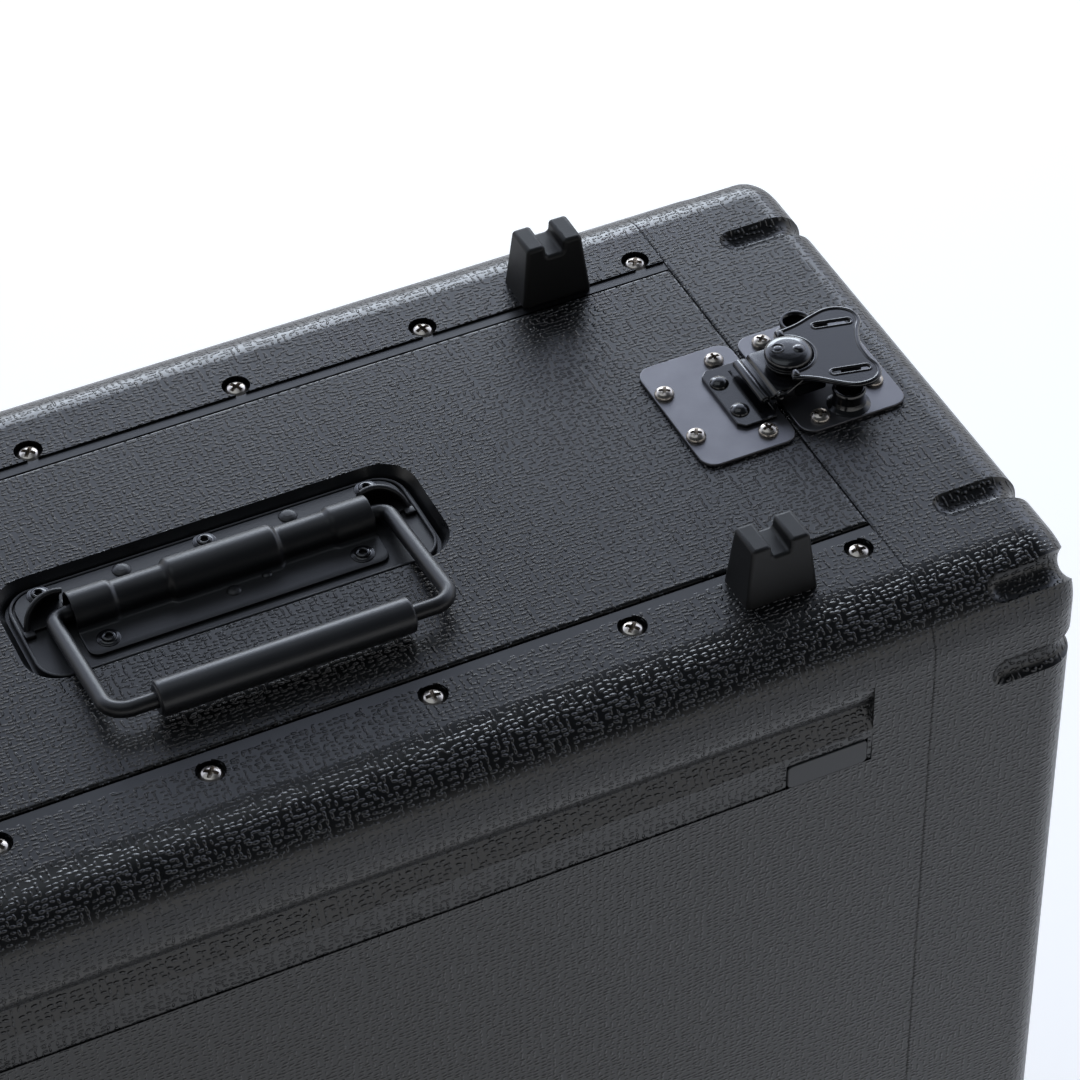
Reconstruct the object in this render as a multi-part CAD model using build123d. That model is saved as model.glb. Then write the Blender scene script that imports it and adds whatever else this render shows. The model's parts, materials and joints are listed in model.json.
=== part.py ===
from build123d import *
from math import asin, cos, radians, sin
import os

# A rack case with two lift-off lids, standing on the feet of its lower handle face.
# +Z is the normal of the upper handle face, +X points to the front lid, +Y runs across
# the handle face. The origin is on the floor, under the middle of the body.

# Rack space, which sets the body's height and width
RACK_UNITS = 4
RACK_UNIT = 44.45
RACK_ROOM = 41.6
RACK_OPENING = 450.8
RACK_HOLE_INSET = 7.15
RACK_FIRST_HOLE = 6.35
RACK_MIDDLE_HOLE = 22.225
RACK_HOLE_RADIUS = 2.5

# Body
BODY_DEPTH = 432.0
EDGE_RADIUS = 25.0
SHELL_WALL = 5.0
SEAM_ROUND = 1.0

# Flanges of the shells beside the panel
FLANGE_WIDTH = 50.0
FLANGE_STEP_WIDTH = 4.5
FLANGE_STEP_DEPTH = 0.8
SCREW_INSET = 9.5
SCREW_MIDDLES = (41.0, 117.0)
SCREW_END_INSET = 9.6
RECESS_DIAMETER = 10.8
RECESS_DEPTH = 3.8

# Stacking ledges of the long faces, where the rounded edge runs on inwards to a sloped ledge
LEDGE_FOOT_DROP = 39.0
LEDGE_DROP = 48.0
LEDGE_INSET = 23.8
LEDGE_STRIP_DEPTH = 0.5
PAD_LENGTH = 32.5
PAD_HEIGHT = 11.5
PAD_INSET = 18.1
PAD_DROP = 57.7
PAD_SEAT = 1.5
PAD_THICKNESS = 1.9

# Side panel with the handle pocket
PANEL_GAP = 1.0
PANEL_SKIN = 2.5
PANEL_TUCK = 20.5
PANEL_BORDER = 3.0
PANEL_ROUND = 1.2
POCKET_END_GAP = 1.3
POCKET_SIDE_GAP = 0.25
POCKET_CORNER = 14.0
POCKET_DRAFT = 3.2
POCKET_DEPTH = 5.5
KEEPER_BOSS_HALF = 33.0
KEEPER_BOSS_LENGTH = 44.0

# Board behind the panel and rim in the mouth
BOARD_THICKNESS = 9.0
BOARD_MARGIN = 16.5
RIM_WALL = 5.0
TONGUE_LENGTH = 9.0
TONGUE_STEP = 2.6
FIT_GAP = 0.2

# Lid
LID_DEPTH = 62.3
LID_END_RADIUS = 14.0
SEAL_LENGTH = 6.0
SEAL_GAP = 0.3
GROOVE_WIDTH = 12.4
GROOVE_DEPTH = 3.6
GROOVE_START = 24.5
GROOVE_DESCENT = 14.0
GROOVE_FACE_INSET = 46.6
GROOVE_SIDE_DROP = 43.0
CORNER_TURN = 45.0

# Feet
FOOT_HEIGHT = 25.0
FOOT_BASE = (28.5, 18.5)
FOOT_TOP = (22.5, 14.8)
FOOT_CORNER = 2.5
FOOT_END_INSET = 45.8
FOOT_FLANGE_INSET = 11.5
NOTCH_WIDTH = 7.5
NOTCH_DEPTH = 5.0
NOTCH_ROUND = 1.6
FOOT_ROUND = 1.8

# Rack rails
RAIL_FACE_WIDTH = 17.6
RAIL_SETBACK = 25.0
RAIL_WALL = 2.5
RAIL_FOOT = 28.0
RAIL_SCREW_PLACES = (-72.0, -24.0, 24.0, 72.0)

# Screws
SHANK_RADIUS = 2.0
SCREW_LENGTH = 12.0
HEAD_RADIUS = 4.15
HEAD_HEIGHT = 2.4
CROSS_WIDTH = 1.1
CROSS_SPAN = 4.4
CROSS_DEPTH = 1.3
HOLE_PLAY = 0.05

# Handle
HANDLE_BASE_LENGTH = 152.0
HANDLE_BASE_WIDTH = 47.6
HANDLE_BASE_CORNER = 11.0
SHEET = 1.2
BASE_LIP = 1.4
COVER_EDGE_GAP = 0.3
COVER_NEAR_EDGE = 18.3
COVER_INSET = 19.0
BARREL_PLACE = 3.0
BARREL_AXIS_RISE = 2.9
BARREL_CENTRE_RADIUS = 8.2
BARREL_WAIST_RADIUS = 6.6
BARREL_END_RADIUS = 7.6
BARREL_CENTRE_HALF = 19.5
BARREL_END_LENGTH = 17.0
BARREL_RAMP = 2.5
HOOD_RADIUS = 12.5
HOOD_STAND = 4.0
HOOD_TILT = 38.0
BAIL_WIRE = 3.0
BAIL_STAND = 7.0
BAIL_REACH = 61.6
BAIL_LIFT = 7.4
BAIL_BEND = 8.0
BAIL_STUB = 17.0
BAIL_STUB_BEND = 4.6
BAIL_PLAY = 0.5
GRIP_LENGTH = 95.0
GRIP_RADIUS = 6.5
GRIP_ROUND = 1.2
SPRING_OUTER = 4.0
SPRING_INNER = 3.2
SPRING_LENGTH = 12.0
RIVET_END_INSET = 13.0
RIVET_FAR_ROW = 16.2
RIVET_NEAR_INSET = 8.7
RIVET_NEAR_ROW = -15.0
DIMPLES = ((-32.0, 15.5, 3.4), (32.0, 15.5, 3.4), (0.0, -12.0, 2.6))
DIMPLE_HEIGHT = 1.2
RIVET_RADIUS = 2.0
RIVET_BORE = 1.3
RIVET_HEAD = 3.2
RIVET_HEAD_HEIGHT = 1.4
RIVET_HEAD_ROUND = 1.1
RIVET_TAIL = 1.0

# Latch
PLATE = 1.5
KEEPER_LENGTH = 38.5
KEEPER_HALF = 30.0
KEEPER_GAP = 1.0
PLATE_CORNER = 6.0
LATCH_LENGTH = 43.2
LATCH_HALF = 29.5
LATCH_GAP = 1.3
KEEPER_SCREWS = ((10.3, 22.0), (35.3, 13.0))
LATCH_SCREWS = ((10.4, 23.3), (37.7, 14.0))
LATCH_SCREW_LENGTH = 7.0
STRIKE_BACK = 19.2
STRIKE_FRONT = 2.2
STRIKE_HALF = 17.0
STRIKE_LIP_HALF = 13.5
STRIKE_LIP_TOP = 6.5
STRIKE_RIVETS = (15.0, 8.4)
DOME_RADIUS = 2.9
DOME_HEIGHT = 1.3
KNOB_PLACE = 9.0
POST_RADIUS = 3.0
POST_TOP = 14.5
BOSS_RADIUS = 9.0
BOSS_TOP = 5.8
NECK_RADIUS = 6.5
NECK_FOOT = 6.2
COLLAR_RADIUS = 8.6
COLLAR_PLAY = 0.3
COLLAR_THICKNESS = 0.7
WAIST_RADIUS = 7.8
CAP_RADIUS = 9.4
CAP_FOOT = 15.0
CAP_TOP = 16.0
DOME_TOP = 17.5
HOOK_TOP = 9.4
HOOK_SHEET = 1.5
HOOK_HALF = 11.7
HOOK_BACK = 19.0
HOOK_SKIRT = 3.6
HOOK_TRAVEL = 5.0
HOOK_RISE = 2.0
HOOK_PLAY = 0.4
ROLL_PLACE = 6.1
ROLL_RADIUS = 1.8
ROLL_AXIS = 6.8
CLAW_NEAR_ANGLE = -15.0
CLAW_FAR_ANGLE = 130.0
EYE_PLACE = (23.5, 21.0)
EYE_RADIUS = 6.0
EYE_BORE = 4.3
EYE_TOP = 9.5
TAB_PLACE = (28.5, 13.0)
TAB_SIZE = (8.0, 1.4)
TAB_TOP = 12.4
WING_AXIS = 14.0
WING_SHEET = 1.6
WING_TURN = -13.0
WING_CUT_RADIUS = 10.2
WING_TIP = (20.0, 22.0)
WING_CORNER = (30.6, 15.0)
WING_WAIST = 27.0
WING_SHOULDER = (7.5, 16.0)
WING_ARM = (-2.0, 12.6)
WING_SLOT_PLACE = (20.3, 13.5)
WING_SLOT_LENGTH = 15.5
WING_SLOT_WIDTH = 3.2
WING_PIN_RADIUS = 0.9
WING_PIN_REACH = 6.4
WING_PIN_PLAY = 0.05

# Places worked out from the sizes above
HALF_DEPTH = BODY_DEPTH / 2
HALF_HEIGHT = RACK_UNITS * RACK_UNIT / 2 + RACK_ROOM
HALF_WIDTH = RACK_OPENING / 2 + RAIL_FACE_WIDTH + BOARD_THICKNESS + PANEL_BORDER + SHELL_WALL
RACK_HOLE_SPAN = RACK_OPENING + 2 * RACK_HOLE_INSET
FLANGE_EDGE = HALF_HEIGHT - FLANGE_WIDTH
SCREW_ROW = FLANGE_EDGE + SCREW_INSET
SCREW_PLACES = SCREW_MIDDLES + (HALF_DEPTH - SCREW_END_INSET,)
LEDGE_HALF_LENGTH = HALF_DEPTH - LEDGE_INSET
PAD_PLACE = LEDGE_HALF_LENGTH - PAD_INSET
RIM_BAND = LEDGE_INSET - SHELL_WALL - FIT_GAP
MID_Z = FOOT_HEIGHT + HALF_WIDTH
FACE = MID_Z + HALF_WIDTH
PANEL_HALF = FLANGE_EDGE - PANEL_GAP
PANEL_BORDER_HALF = FLANGE_EDGE + PANEL_TUCK
POCKET_LENGTH = HANDLE_BASE_LENGTH + 2 * (POCKET_END_GAP + POCKET_DRAFT)
POCKET_WIDTH = HANDLE_BASE_WIDTH + 2 * (POCKET_SIDE_GAP + POCKET_DRAFT)
PANEL_BOTTOM = FACE - SHELL_WALL - PANEL_BORDER
BOARD_BOTTOM = PANEL_BOTTOM - BOARD_THICKNESS
BOARD_END = HALF_DEPTH - RIM_BAND - FIT_GAP
BOARD_HALF = HALF_HEIGHT - BOARD_MARGIN
RIM_HALF_HEIGHT = HALF_HEIGHT - SHELL_WALL - FIT_GAP
RIM_HALF_WIDTH = PANEL_BOTTOM - MID_Z
INNER_RADIUS = EDGE_RADIUS - SHELL_WALL
TONGUE_HALF_HEIGHT = RIM_HALF_HEIGHT - TONGUE_STEP
TONGUE_HALF_WIDTH = RIM_HALF_WIDTH - TONGUE_STEP
RAIL_FACE = HALF_DEPTH - RAIL_SETBACK
FOOT_PLACE = (HALF_DEPTH - FOOT_END_INSET, FLANGE_EDGE + FOOT_FLANGE_INSET)
POCKET_FLOOR = FACE - POCKET_DEPTH
BASE_TOP = POCKET_FLOOR + SHEET
COVER_TOP = BASE_TOP + SHEET
BARREL_AXIS = COVER_TOP + BARREL_AXIS_RISE
COVER_FAR_EDGE = HANDLE_BASE_WIDTH / 2 - SHEET - COVER_EDGE_GAP
COVER_HALF = HANDLE_BASE_LENGTH / 2 - COVER_INSET
BARREL_WAIST_HALF = COVER_HALF - BARREL_END_LENGTH
HOOD_REACH = COVER_HALF + HOOD_STAND
BAIL_HALF_SPAN = COVER_HALF + BAIL_STAND
SCREW_SEAT = FACE - RECESS_DEPTH
SCREW_END = SCREW_SEAT - SCREW_LENGTH
PLATE_TOP = FACE + PLATE
KNOB_X = HALF_DEPTH + KNOB_PLACE
COLLAR_FOOT = HOOK_TOP + HOOK_RISE + COLLAR_PLAY
WAIST_FOOT = COLLAR_FOOT + COLLAR_THICKNESS
SIDES = (-1, 1)


def block(x0, x1, y0, y1, z0, z1):
    """A plain box between two corners."""
    middle = Pos((x0 + x1) / 2, (y0 + y1) / 2, (z0 + z1) / 2)
    return middle * Box(abs(x1 - x0), abs(y1 - y0), abs(z1 - z0))


def rod(x, y, z0, z1, radius):
    """A round bar along Z."""
    return Pos(x, y, (z0 + z1) / 2) * Cylinder(radius, z1 - z0)


def rod_x(x0, x1, y, z, radius):
    """A round bar along X."""
    return Pos((x0 + x1) / 2, y, z) * Rot(0, 90, 0) * Cylinder(radius, abs(x1 - x0))


def plate(x0, x1, y0, y1, z0, z1, corner):
    """A flat plate with rounded corners."""
    outline = RectangleRounded(x1 - x0, y1 - y0, corner)
    return extrude(Pos((x0 + x1) / 2, (y0 + y1) / 2, z0) * outline, z1 - z0)


def tube_section(half_height, half_width, radius, x):
    """A rounded rectangle across the case, at a place along X."""
    across = Plane(origin=(x, 0, MID_Z), x_dir=(0, 1, 0), z_dir=(1, 0, 0))
    return across * RectangleRounded(2 * half_height, 2 * half_width, radius)


def tube(x0, x1, half_height, half_width, radius, wall_height, wall_width, inner_radius):
    """A rounded rectangular ring along X."""
    outer = extrude(tube_section(half_height, half_width, radius, x0), x1 - x0)
    inner = tube_section(half_height - wall_height, half_width - wall_width, inner_radius, x0)
    return outer - extrude(inner, x1 - x0)


def lower(shape):
    """The same piece on the lower handle face."""
    return mirror(shape, about=Plane.XY.offset(MID_Z))


def rear(shape):
    """The same piece at the rear end."""
    return mirror(shape, about=Plane.YZ)


def far(shape):
    """The same piece on the far long face."""
    return mirror(shape, about=Plane.XZ)


def save(name, *shapes):
    """Writes one node, as one solid or as a group of separate solids."""
    solids = []
    for shape in shapes:
        solids.extend(shape.solids())
    body = solids[0] if len(solids) == 1 else Compound(children=solids)
    export_step(body, "parts/" + name + ".step")


def pan_screw(x, y, seat, end, head_radius=HEAD_RADIUS, head_height=HEAD_HEIGHT):
    """A pan-head screw with a cross recess, its head on a seat that faces up."""
    dome = (head_radius ** 2 + (2 * head_height) ** 2) / (4 * head_height)
    cap = Pos(x, y, seat + head_height - dome) * Sphere(dome)
    head = rod(x, y, seat, seat + head_height, head_radius) & cap
    top = seat + head_height
    cross = block(x - CROSS_SPAN / 2, x + CROSS_SPAN / 2, y - CROSS_WIDTH / 2, y + CROSS_WIDTH / 2,
                  top - CROSS_DEPTH, top)
    cross += block(x - CROSS_WIDTH / 2, x + CROSS_WIDTH / 2, y - CROSS_SPAN / 2, y + CROSS_SPAN / 2,
                   top - CROSS_DEPTH, top)
    return head - cross + rod(x, y, end, seat, SHANK_RADIUS)


def shank_hole(x, y, z0, z1):
    """The hole that a screw's shank passes or bites into."""
    return rod(x, y, z0, z1, SHANK_RADIUS + HOLE_PLAY)


def screw_row_places():
    """Where the flange screws stand on the upper handle face."""
    return [(side * place, row * SCREW_ROW)
            for side in SIDES for place in SCREW_PLACES for row in SIDES]


def ledge_form(grow):
    """The space outside the stacking ledge of the near long face, grown inwards by a wall."""
    out = -HALF_HEIGHT - EDGE_RADIUS
    face = -HALF_HEIGHT + grow
    foot = FACE - PAD_DROP - PAD_HEIGHT / 2
    turn = asin((LEDGE_FOOT_DROP - EDGE_RADIUS) / EDGE_RADIUS)
    radius = EDGE_RADIUS - grow

    def on_round(angle):
        return (-HALF_HEIGHT + EDGE_RADIUS - radius * cos(angle), FACE - EDGE_RADIUS - radius * sin(angle))

    edges = [
        Line((out, FACE - EDGE_RADIUS), on_round(0)),
        ThreePointArc(on_round(0), on_round(turn / 2), on_round(turn)),
        Line(on_round(turn), (face, FACE - LEDGE_DROP)),
        Line((face, FACE - LEDGE_DROP), (face + LEDGE_STRIP_DEPTH, foot)),
        Line((face + LEDGE_STRIP_DEPTH, foot), (out, foot)),
        Line((out, foot), (out, FACE - EDGE_RADIUS)),
    ]
    half = LEDGE_HALF_LENGTH + grow
    across = Plane(origin=(-half, 0, 0), x_dir=(0, 1, 0), z_dir=(1, 0, 0))
    return extrude(across * make_face(edges), 2 * half)


def pad_space(side, depth, play):
    """The space of a stacking pad, from its seat outwards."""
    x = side * PAD_PLACE
    seat = -HALF_HEIGHT + PAD_SEAT
    half_length = PAD_LENGTH / 2 + play
    half_height = PAD_HEIGHT / 2 + play
    middle = FACE - PAD_DROP
    return block(x - half_length, x + half_length, seat - depth, seat,
                 middle - half_height, middle + half_height)


def shell():
    """The near C-shaped shell with its two flanges and stacking ledges."""
    body = tube(-HALF_DEPTH, HALF_DEPTH, HALF_HEIGHT, HALF_WIDTH, EDGE_RADIUS,
                SHELL_WALL, SHELL_WALL, INNER_RADIUS)
    body &= block(-HALF_DEPTH, HALF_DEPTH, -2 * HALF_HEIGHT, -FLANGE_EDGE, 0, FACE + FOOT_HEIGHT)
    solid = extrude(tube_section(HALF_HEIGHT, HALF_WIDTH, EDGE_RADIUS, -HALF_DEPTH), BODY_DEPTH)
    details = ledge_form(SHELL_WALL) & solid
    body += details + lower(details)
    cut = ledge_form(0)
    cut += block(-HALF_DEPTH, HALF_DEPTH, -FLANGE_EDGE - FLANGE_STEP_WIDTH, -FLANGE_EDGE,
                 FACE - FLANGE_STEP_DEPTH, FACE + 1)
    for side in SIDES:
        cut += pad_space(side, SHELL_WALL * 2, HOLE_PLAY)
    for x, y in screw_row_places():
        if y < 0:
            cut += rod(x, y, SCREW_SEAT, FACE + 1, RECESS_DIAMETER / 2)
            cut += shank_hole(x, y, FACE - SHELL_WALL - 1, SCREW_SEAT)
    return body - cut - lower(cut)


def pocket_space(grow, z_low):
    """The drafted pocket for the handle, or its outside when grown."""
    wide = RectangleRounded(POCKET_LENGTH + 2 * grow, POCKET_WIDTH + 2 * grow, POCKET_CORNER + grow)
    narrow = RectangleRounded(POCKET_LENGTH - 2 * POCKET_DRAFT + 2 * grow,
                              POCKET_WIDTH - 2 * POCKET_DRAFT + 2 * grow,
                              POCKET_CORNER - POCKET_DRAFT + grow)
    return loft([Pos(0, 0, FACE) * wide, Pos(0, 0, z_low) * narrow])


def rivet_places():
    """Where the hollow rivets hold the handle, in two rows beside the barrel."""
    end = HANDLE_BASE_LENGTH / 2 - RIVET_END_INSET
    near = COVER_HALF - RIVET_NEAR_INSET
    rows = [(x, RIVET_FAR_ROW) for x in (-end, 0.0, end)] + [(x, RIVET_NEAR_ROW) for x in (-near, near)]
    return [(x, BARREL_PLACE + y) for x, y in rows]


def keeper_screw_places():
    """The keeper plate's screws at the front latch."""
    return [(HALF_DEPTH - x, side * y) for x, y in KEEPER_SCREWS for side in SIDES]


def panel():
    """The upper side panel: skin, tucked border, handle pocket and keeper bosses."""
    end = HALF_DEPTH - HOLE_PLAY
    skin = block(-end, end, -PANEL_HALF, PANEL_HALF, PANEL_BOTTOM, FACE)
    skin = fillet(skin.edges().group_by(Axis.Z)[-1], PANEL_ROUND)
    hollow = block(-end + RIM_BAND, end - RIM_BAND, -PANEL_HALF + PANEL_SKIN, PANEL_HALF - PANEL_SKIN,
                   PANEL_BOTTOM - 1, FACE - PANEL_SKIN)
    skin -= hollow
    border = block(-end, end, -PANEL_BORDER_HALF, PANEL_BORDER_HALF,
                   PANEL_BOTTOM, FACE - SHELL_WALL)
    border -= block(-end + RIM_BAND, end - RIM_BAND, -PANEL_HALF + PANEL_SKIN, PANEL_HALF - PANEL_SKIN,
                    PANEL_BOTTOM - 1, FACE)
    body = skin + border
    outside = pocket_space(PANEL_SKIN, PANEL_BOTTOM)
    body += outside & block(-end, end, -PANEL_HALF, PANEL_HALF, PANEL_BOTTOM, FACE - PANEL_ROUND)
    for side in SIDES:
        body += block(side * end, side * (end - KEEPER_BOSS_LENGTH), -KEEPER_BOSS_HALF,
                      KEEPER_BOSS_HALF, PANEL_BOTTOM, FACE - PANEL_ROUND)
    body -= pocket_space(0, POCKET_FLOOR)
    for x, y in screw_row_places():
        body -= shank_hole(x, y, PANEL_BOTTOM - 1, FACE - SHELL_WALL + 1)
    for x, y in rivet_places():
        body -= rod(x, y, PANEL_BOTTOM - 1, FACE, RIVET_RADIUS + HOLE_PLAY)
    for x, y in keeper_screw_places():
        for side in SIDES:
            body -= shank_hole(side * x, y, PANEL_BOTTOM - 1, FACE + 1)
    return body


def board():
    """The stiffening board behind the upper panel."""
    body = plate(-BOARD_END, BOARD_END, -BOARD_HALF, BOARD_HALF, BOARD_BOTTOM, PANEL_BOTTOM,
                 FOOT_CORNER)
    for x, y in screw_row_places():
        body -= shank_hole(x, y, SCREW_END, PANEL_BOTTOM + 1)
    for x, y in rivet_places():
        body -= rod(x, y, BOARD_BOTTOM - 1, PANEL_BOTTOM + 1, RIVET_RADIUS + HOLE_PLAY)
    for x, y in keeper_screw_places():
        for side in SIDES:
            body -= shank_hole(side * x, y, SCREW_END, PANEL_BOTTOM + 1)
    for side in SIDES:
        for y in RAIL_SCREW_PLACES:
            x = side * (RAIL_FACE - RAIL_FOOT / 2)
            body -= shank_hole(x, y, BOARD_BOTTOM - 1, PANEL_BOTTOM - RAIL_WALL)
    return body


def rim():
    """The front rim: a band inside the mouth and a tongue for the lid."""
    band = tube(HALF_DEPTH - RIM_BAND, HALF_DEPTH, RIM_HALF_HEIGHT, RIM_HALF_WIDTH, INNER_RADIUS,
                RIM_WALL, RIM_WALL, INNER_RADIUS - RIM_WALL)
    tongue = tube(HALF_DEPTH, HALF_DEPTH + TONGUE_LENGTH, TONGUE_HALF_HEIGHT, TONGUE_HALF_WIDTH,
                  INNER_RADIUS - TONGUE_STEP, RIM_WALL - TONGUE_STEP, RIM_WALL - TONGUE_STEP,
                  INNER_RADIUS - RIM_WALL)
    body = band + tongue
    holes = [place for place in screw_row_places() + keeper_screw_places() if place[0] > BOARD_END]
    for x, y in holes:
        hole = shank_hole(x, y, SCREW_END - 1, PANEL_BOTTOM + 1)
        body -= hole + lower(hole)
    return body


def groove(turn, y, z):
    """A rounded stacking groove that runs out over the lid's end edge."""
    radius = (GROOVE_WIDTH ** 2 / 4 + GROOVE_DEPTH ** 2) / (2 * GROOVE_DEPTH)
    rise = radius - GROOVE_DEPTH
    bend = LID_END_RADIUS + rise
    start = HALF_DEPTH + GROOVE_START + GROOVE_WIDTH / 2
    turn_x = HALF_DEPTH + LID_DEPTH - LID_END_RADIUS
    low = -LID_END_RADIUS - GROOVE_DESCENT
    straight = rod_x(start, turn_x, 0, rise, radius)
    down = rod(turn_x + bend, 0, low, -LID_END_RADIUS, radius)
    corner = Pos(turn_x, 0, -LID_END_RADIUS) * Rot(90, 0, 0) * Torus(bend, radius)
    corner &= block(turn_x, turn_x + 2 * bend, -radius, radius, -LID_END_RADIUS, bend)
    ends = Pos(start, 0, rise) * Sphere(radius) + Pos(turn_x + bend, 0, low) * Sphere(radius)
    return Pos(0, y, z) * Rot(turn, 0, 0) * (straight + down + corner + ends)


def latch_screw_places():
    """The latch plate's screws at the front upper latch."""
    return [(HALF_DEPTH + x, side * y) for x, y in LATCH_SCREWS for side in SIDES]


def lid():
    """The front lid: a deep pan with rounded edges and grooved corners."""
    outer = extrude(tube_section(HALF_HEIGHT, HALF_WIDTH, EDGE_RADIUS, HALF_DEPTH), LID_DEPTH)
    outer = fillet(outer.edges().group_by(Axis.X)[-1], LID_END_RADIUS)
    outer = fillet(outer.edges().group_by(Axis.X)[0], SEAM_ROUND)
    inner = extrude(tube_section(HALF_HEIGHT - SHELL_WALL, HALF_WIDTH - SHELL_WALL, INNER_RADIUS,
                                 HALF_DEPTH), LID_DEPTH - SHELL_WALL)
    inner = fillet(inner.edges().group_by(Axis.X)[-1], LID_END_RADIUS - SHELL_WALL)
    body = outer - inner
    slope = EDGE_RADIUS * sin(radians(CORNER_TURN))
    corner_y = HALF_HEIGHT - EDGE_RADIUS + slope
    corner_z = FACE - EDGE_RADIUS + slope
    for side in SIDES:
        marks = groove(0, side * (HALF_HEIGHT - GROOVE_FACE_INSET), FACE)
        marks += groove(-side * CORNER_TURN, side * corner_y, corner_z)
        marks += groove(-side * 2 * CORNER_TURN, side * HALF_HEIGHT, FACE - GROOVE_SIDE_DROP)
        body -= marks
        body -= lower(marks)
    for x, y in latch_screw_places():
        hole = shank_hole(x, y, FACE - SHELL_WALL - 1, FACE + 1)
        body -= hole + lower(hole)
    return body


def seal():
    """The gasket between the front lid's wall and the tongue."""
    return tube(HALF_DEPTH + SEAM_ROUND, HALF_DEPTH + SEAM_ROUND + SEAL_LENGTH,
                HALF_HEIGHT - SHELL_WALL, HALF_WIDTH - SHELL_WALL, INNER_RADIUS,
                HALF_HEIGHT - SHELL_WALL - TONGUE_HALF_HEIGHT - SEAL_GAP,
                HALF_WIDTH - SHELL_WALL - TONGUE_HALF_WIDTH - SEAL_GAP,
                INNER_RADIUS - TONGUE_STEP + SEAL_GAP)


def foot():
    """One tapered foot with a notch between two rounded ridges, on the upper face."""
    x, y = FOOT_PLACE
    base = Pos(x, y, FACE) * RectangleRounded(FOOT_BASE[0], FOOT_BASE[1], FOOT_CORNER)
    top = Pos(x, y, FACE + FOOT_HEIGHT) * RectangleRounded(FOOT_TOP[0], FOOT_TOP[1], FOOT_CORNER)
    body = loft([base, top])
    crown = FACE + FOOT_HEIGHT
    notch = block(x - NOTCH_WIDTH / 2, x + NOTCH_WIDTH / 2, y - FOOT_BASE[1], y + FOOT_BASE[1],
                  crown - NOTCH_DEPTH, crown + 1)
    notch = fillet(notch.edges().filter_by(Axis.Y).group_by(Axis.Z)[0], NOTCH_ROUND)
    body -= notch
    rims = body.edges().group_by(Axis.Z)[-1]
    return fillet(rims, FOOT_ROUND)


def rack_hole_heights():
    """The hole heights of the rail, three in each rack unit."""
    start = -RACK_UNITS * RACK_UNIT / 2
    steps = (RACK_FIRST_HOLE, RACK_MIDDLE_HOLE, RACK_UNIT - RACK_FIRST_HOLE)
    return [start + unit * RACK_UNIT + step for unit in range(RACK_UNITS) for step in steps]


def rail():
    """The front upper rack rail, an angle with tapped holes."""
    half = RACK_UNITS * RACK_UNIT / 2
    body = block(RAIL_FACE - RAIL_FOOT, RAIL_FACE, -half, half,
                 BOARD_BOTTOM - RAIL_WALL, BOARD_BOTTOM)
    body += block(RAIL_FACE - RAIL_WALL, RAIL_FACE, -half, half,
                  MID_Z + RACK_OPENING / 2, BOARD_BOTTOM)
    for y in rack_hole_heights():
        body -= rod_x(RAIL_FACE - RAIL_WALL - 1, RAIL_FACE + 1, y, MID_Z + RACK_HOLE_SPAN / 2,
                      RACK_HOLE_RADIUS)
    for y in RAIL_SCREW_PLACES:
        body -= shank_hole(RAIL_FACE - RAIL_FOOT / 2, y, BOARD_BOTTOM - RAIL_WALL - 1,
                           BOARD_BOTTOM + 1)
    return body


def rail_screws():
    """The screws of the front upper rail, with their heads inside the case."""
    seat = BOARD_BOTTOM - RAIL_WALL
    tip = PANEL_BOTTOM - RAIL_WALL
    screws = []
    for y in RAIL_SCREW_PLACES:
        standing = pan_screw(RAIL_FACE - RAIL_FOOT / 2, y, 0, seat - tip)
        screws.append(Pos(0, 0, seat) * mirror(standing, about=Plane.XY))
    return screws


def handle_base():
    """The upper handle's base plate with its upturned edge."""
    half_length = HANDLE_BASE_LENGTH / 2
    half_width = HANDLE_BASE_WIDTH / 2
    body = plate(-half_length, half_length, -half_width, half_width, POCKET_FLOOR,
                 BASE_TOP + BASE_LIP, HANDLE_BASE_CORNER)
    body -= plate(-half_length + SHEET, half_length - SHEET, -half_width + SHEET, half_width - SHEET,
                  BASE_TOP, FACE, HANDLE_BASE_CORNER - SHEET)
    for x, y in rivet_places():
        body -= rod(x, y, POCKET_FLOOR - 1, BASE_TOP + 1, RIVET_RADIUS + HOLE_PLAY)
    return body


def barrel_section(x, radius):
    """The barrel's cross-section: a half round on straight sides."""
    across = Plane(origin=(x, BARREL_PLACE, BARREL_AXIS), x_dir=(0, 1, 0), z_dir=(1, 0, 0))
    legs = Pos(0, -BARREL_AXIS_RISE / 2) * Rectangle(2 * radius, BARREL_AXIS_RISE)
    half_round = Circle(radius) & Pos(0, radius) * Rectangle(2 * radius, 2 * radius)
    return across * (half_round + legs)


def barrel_form(shrink, end):
    """The stepped barrel, shrunk by its sheet for the hollow."""
    centre = BARREL_CENTRE_RADIUS - shrink
    waist = BARREL_WAIST_RADIUS - shrink
    last = BARREL_END_RADIUS - shrink
    steps = ((0.0, centre), (BARREL_CENTRE_HALF, centre), (BARREL_CENTRE_HALF + BARREL_RAMP, waist),
             (BARREL_WAIST_HALF, waist), (BARREL_WAIST_HALF + BARREL_RAMP, last), (end, last))
    half = None
    for (x0, r0), (x1, r1) in zip(steps, steps[1:]):
        if r0 == r1:
            piece = extrude(barrel_section(x0, r0), x1 - x0)
        else:
            piece = loft([barrel_section(x0, r0), barrel_section(x1, r1)], ruled=True)
        half = piece if half is None else half + piece
    return half + rear(half)


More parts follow.
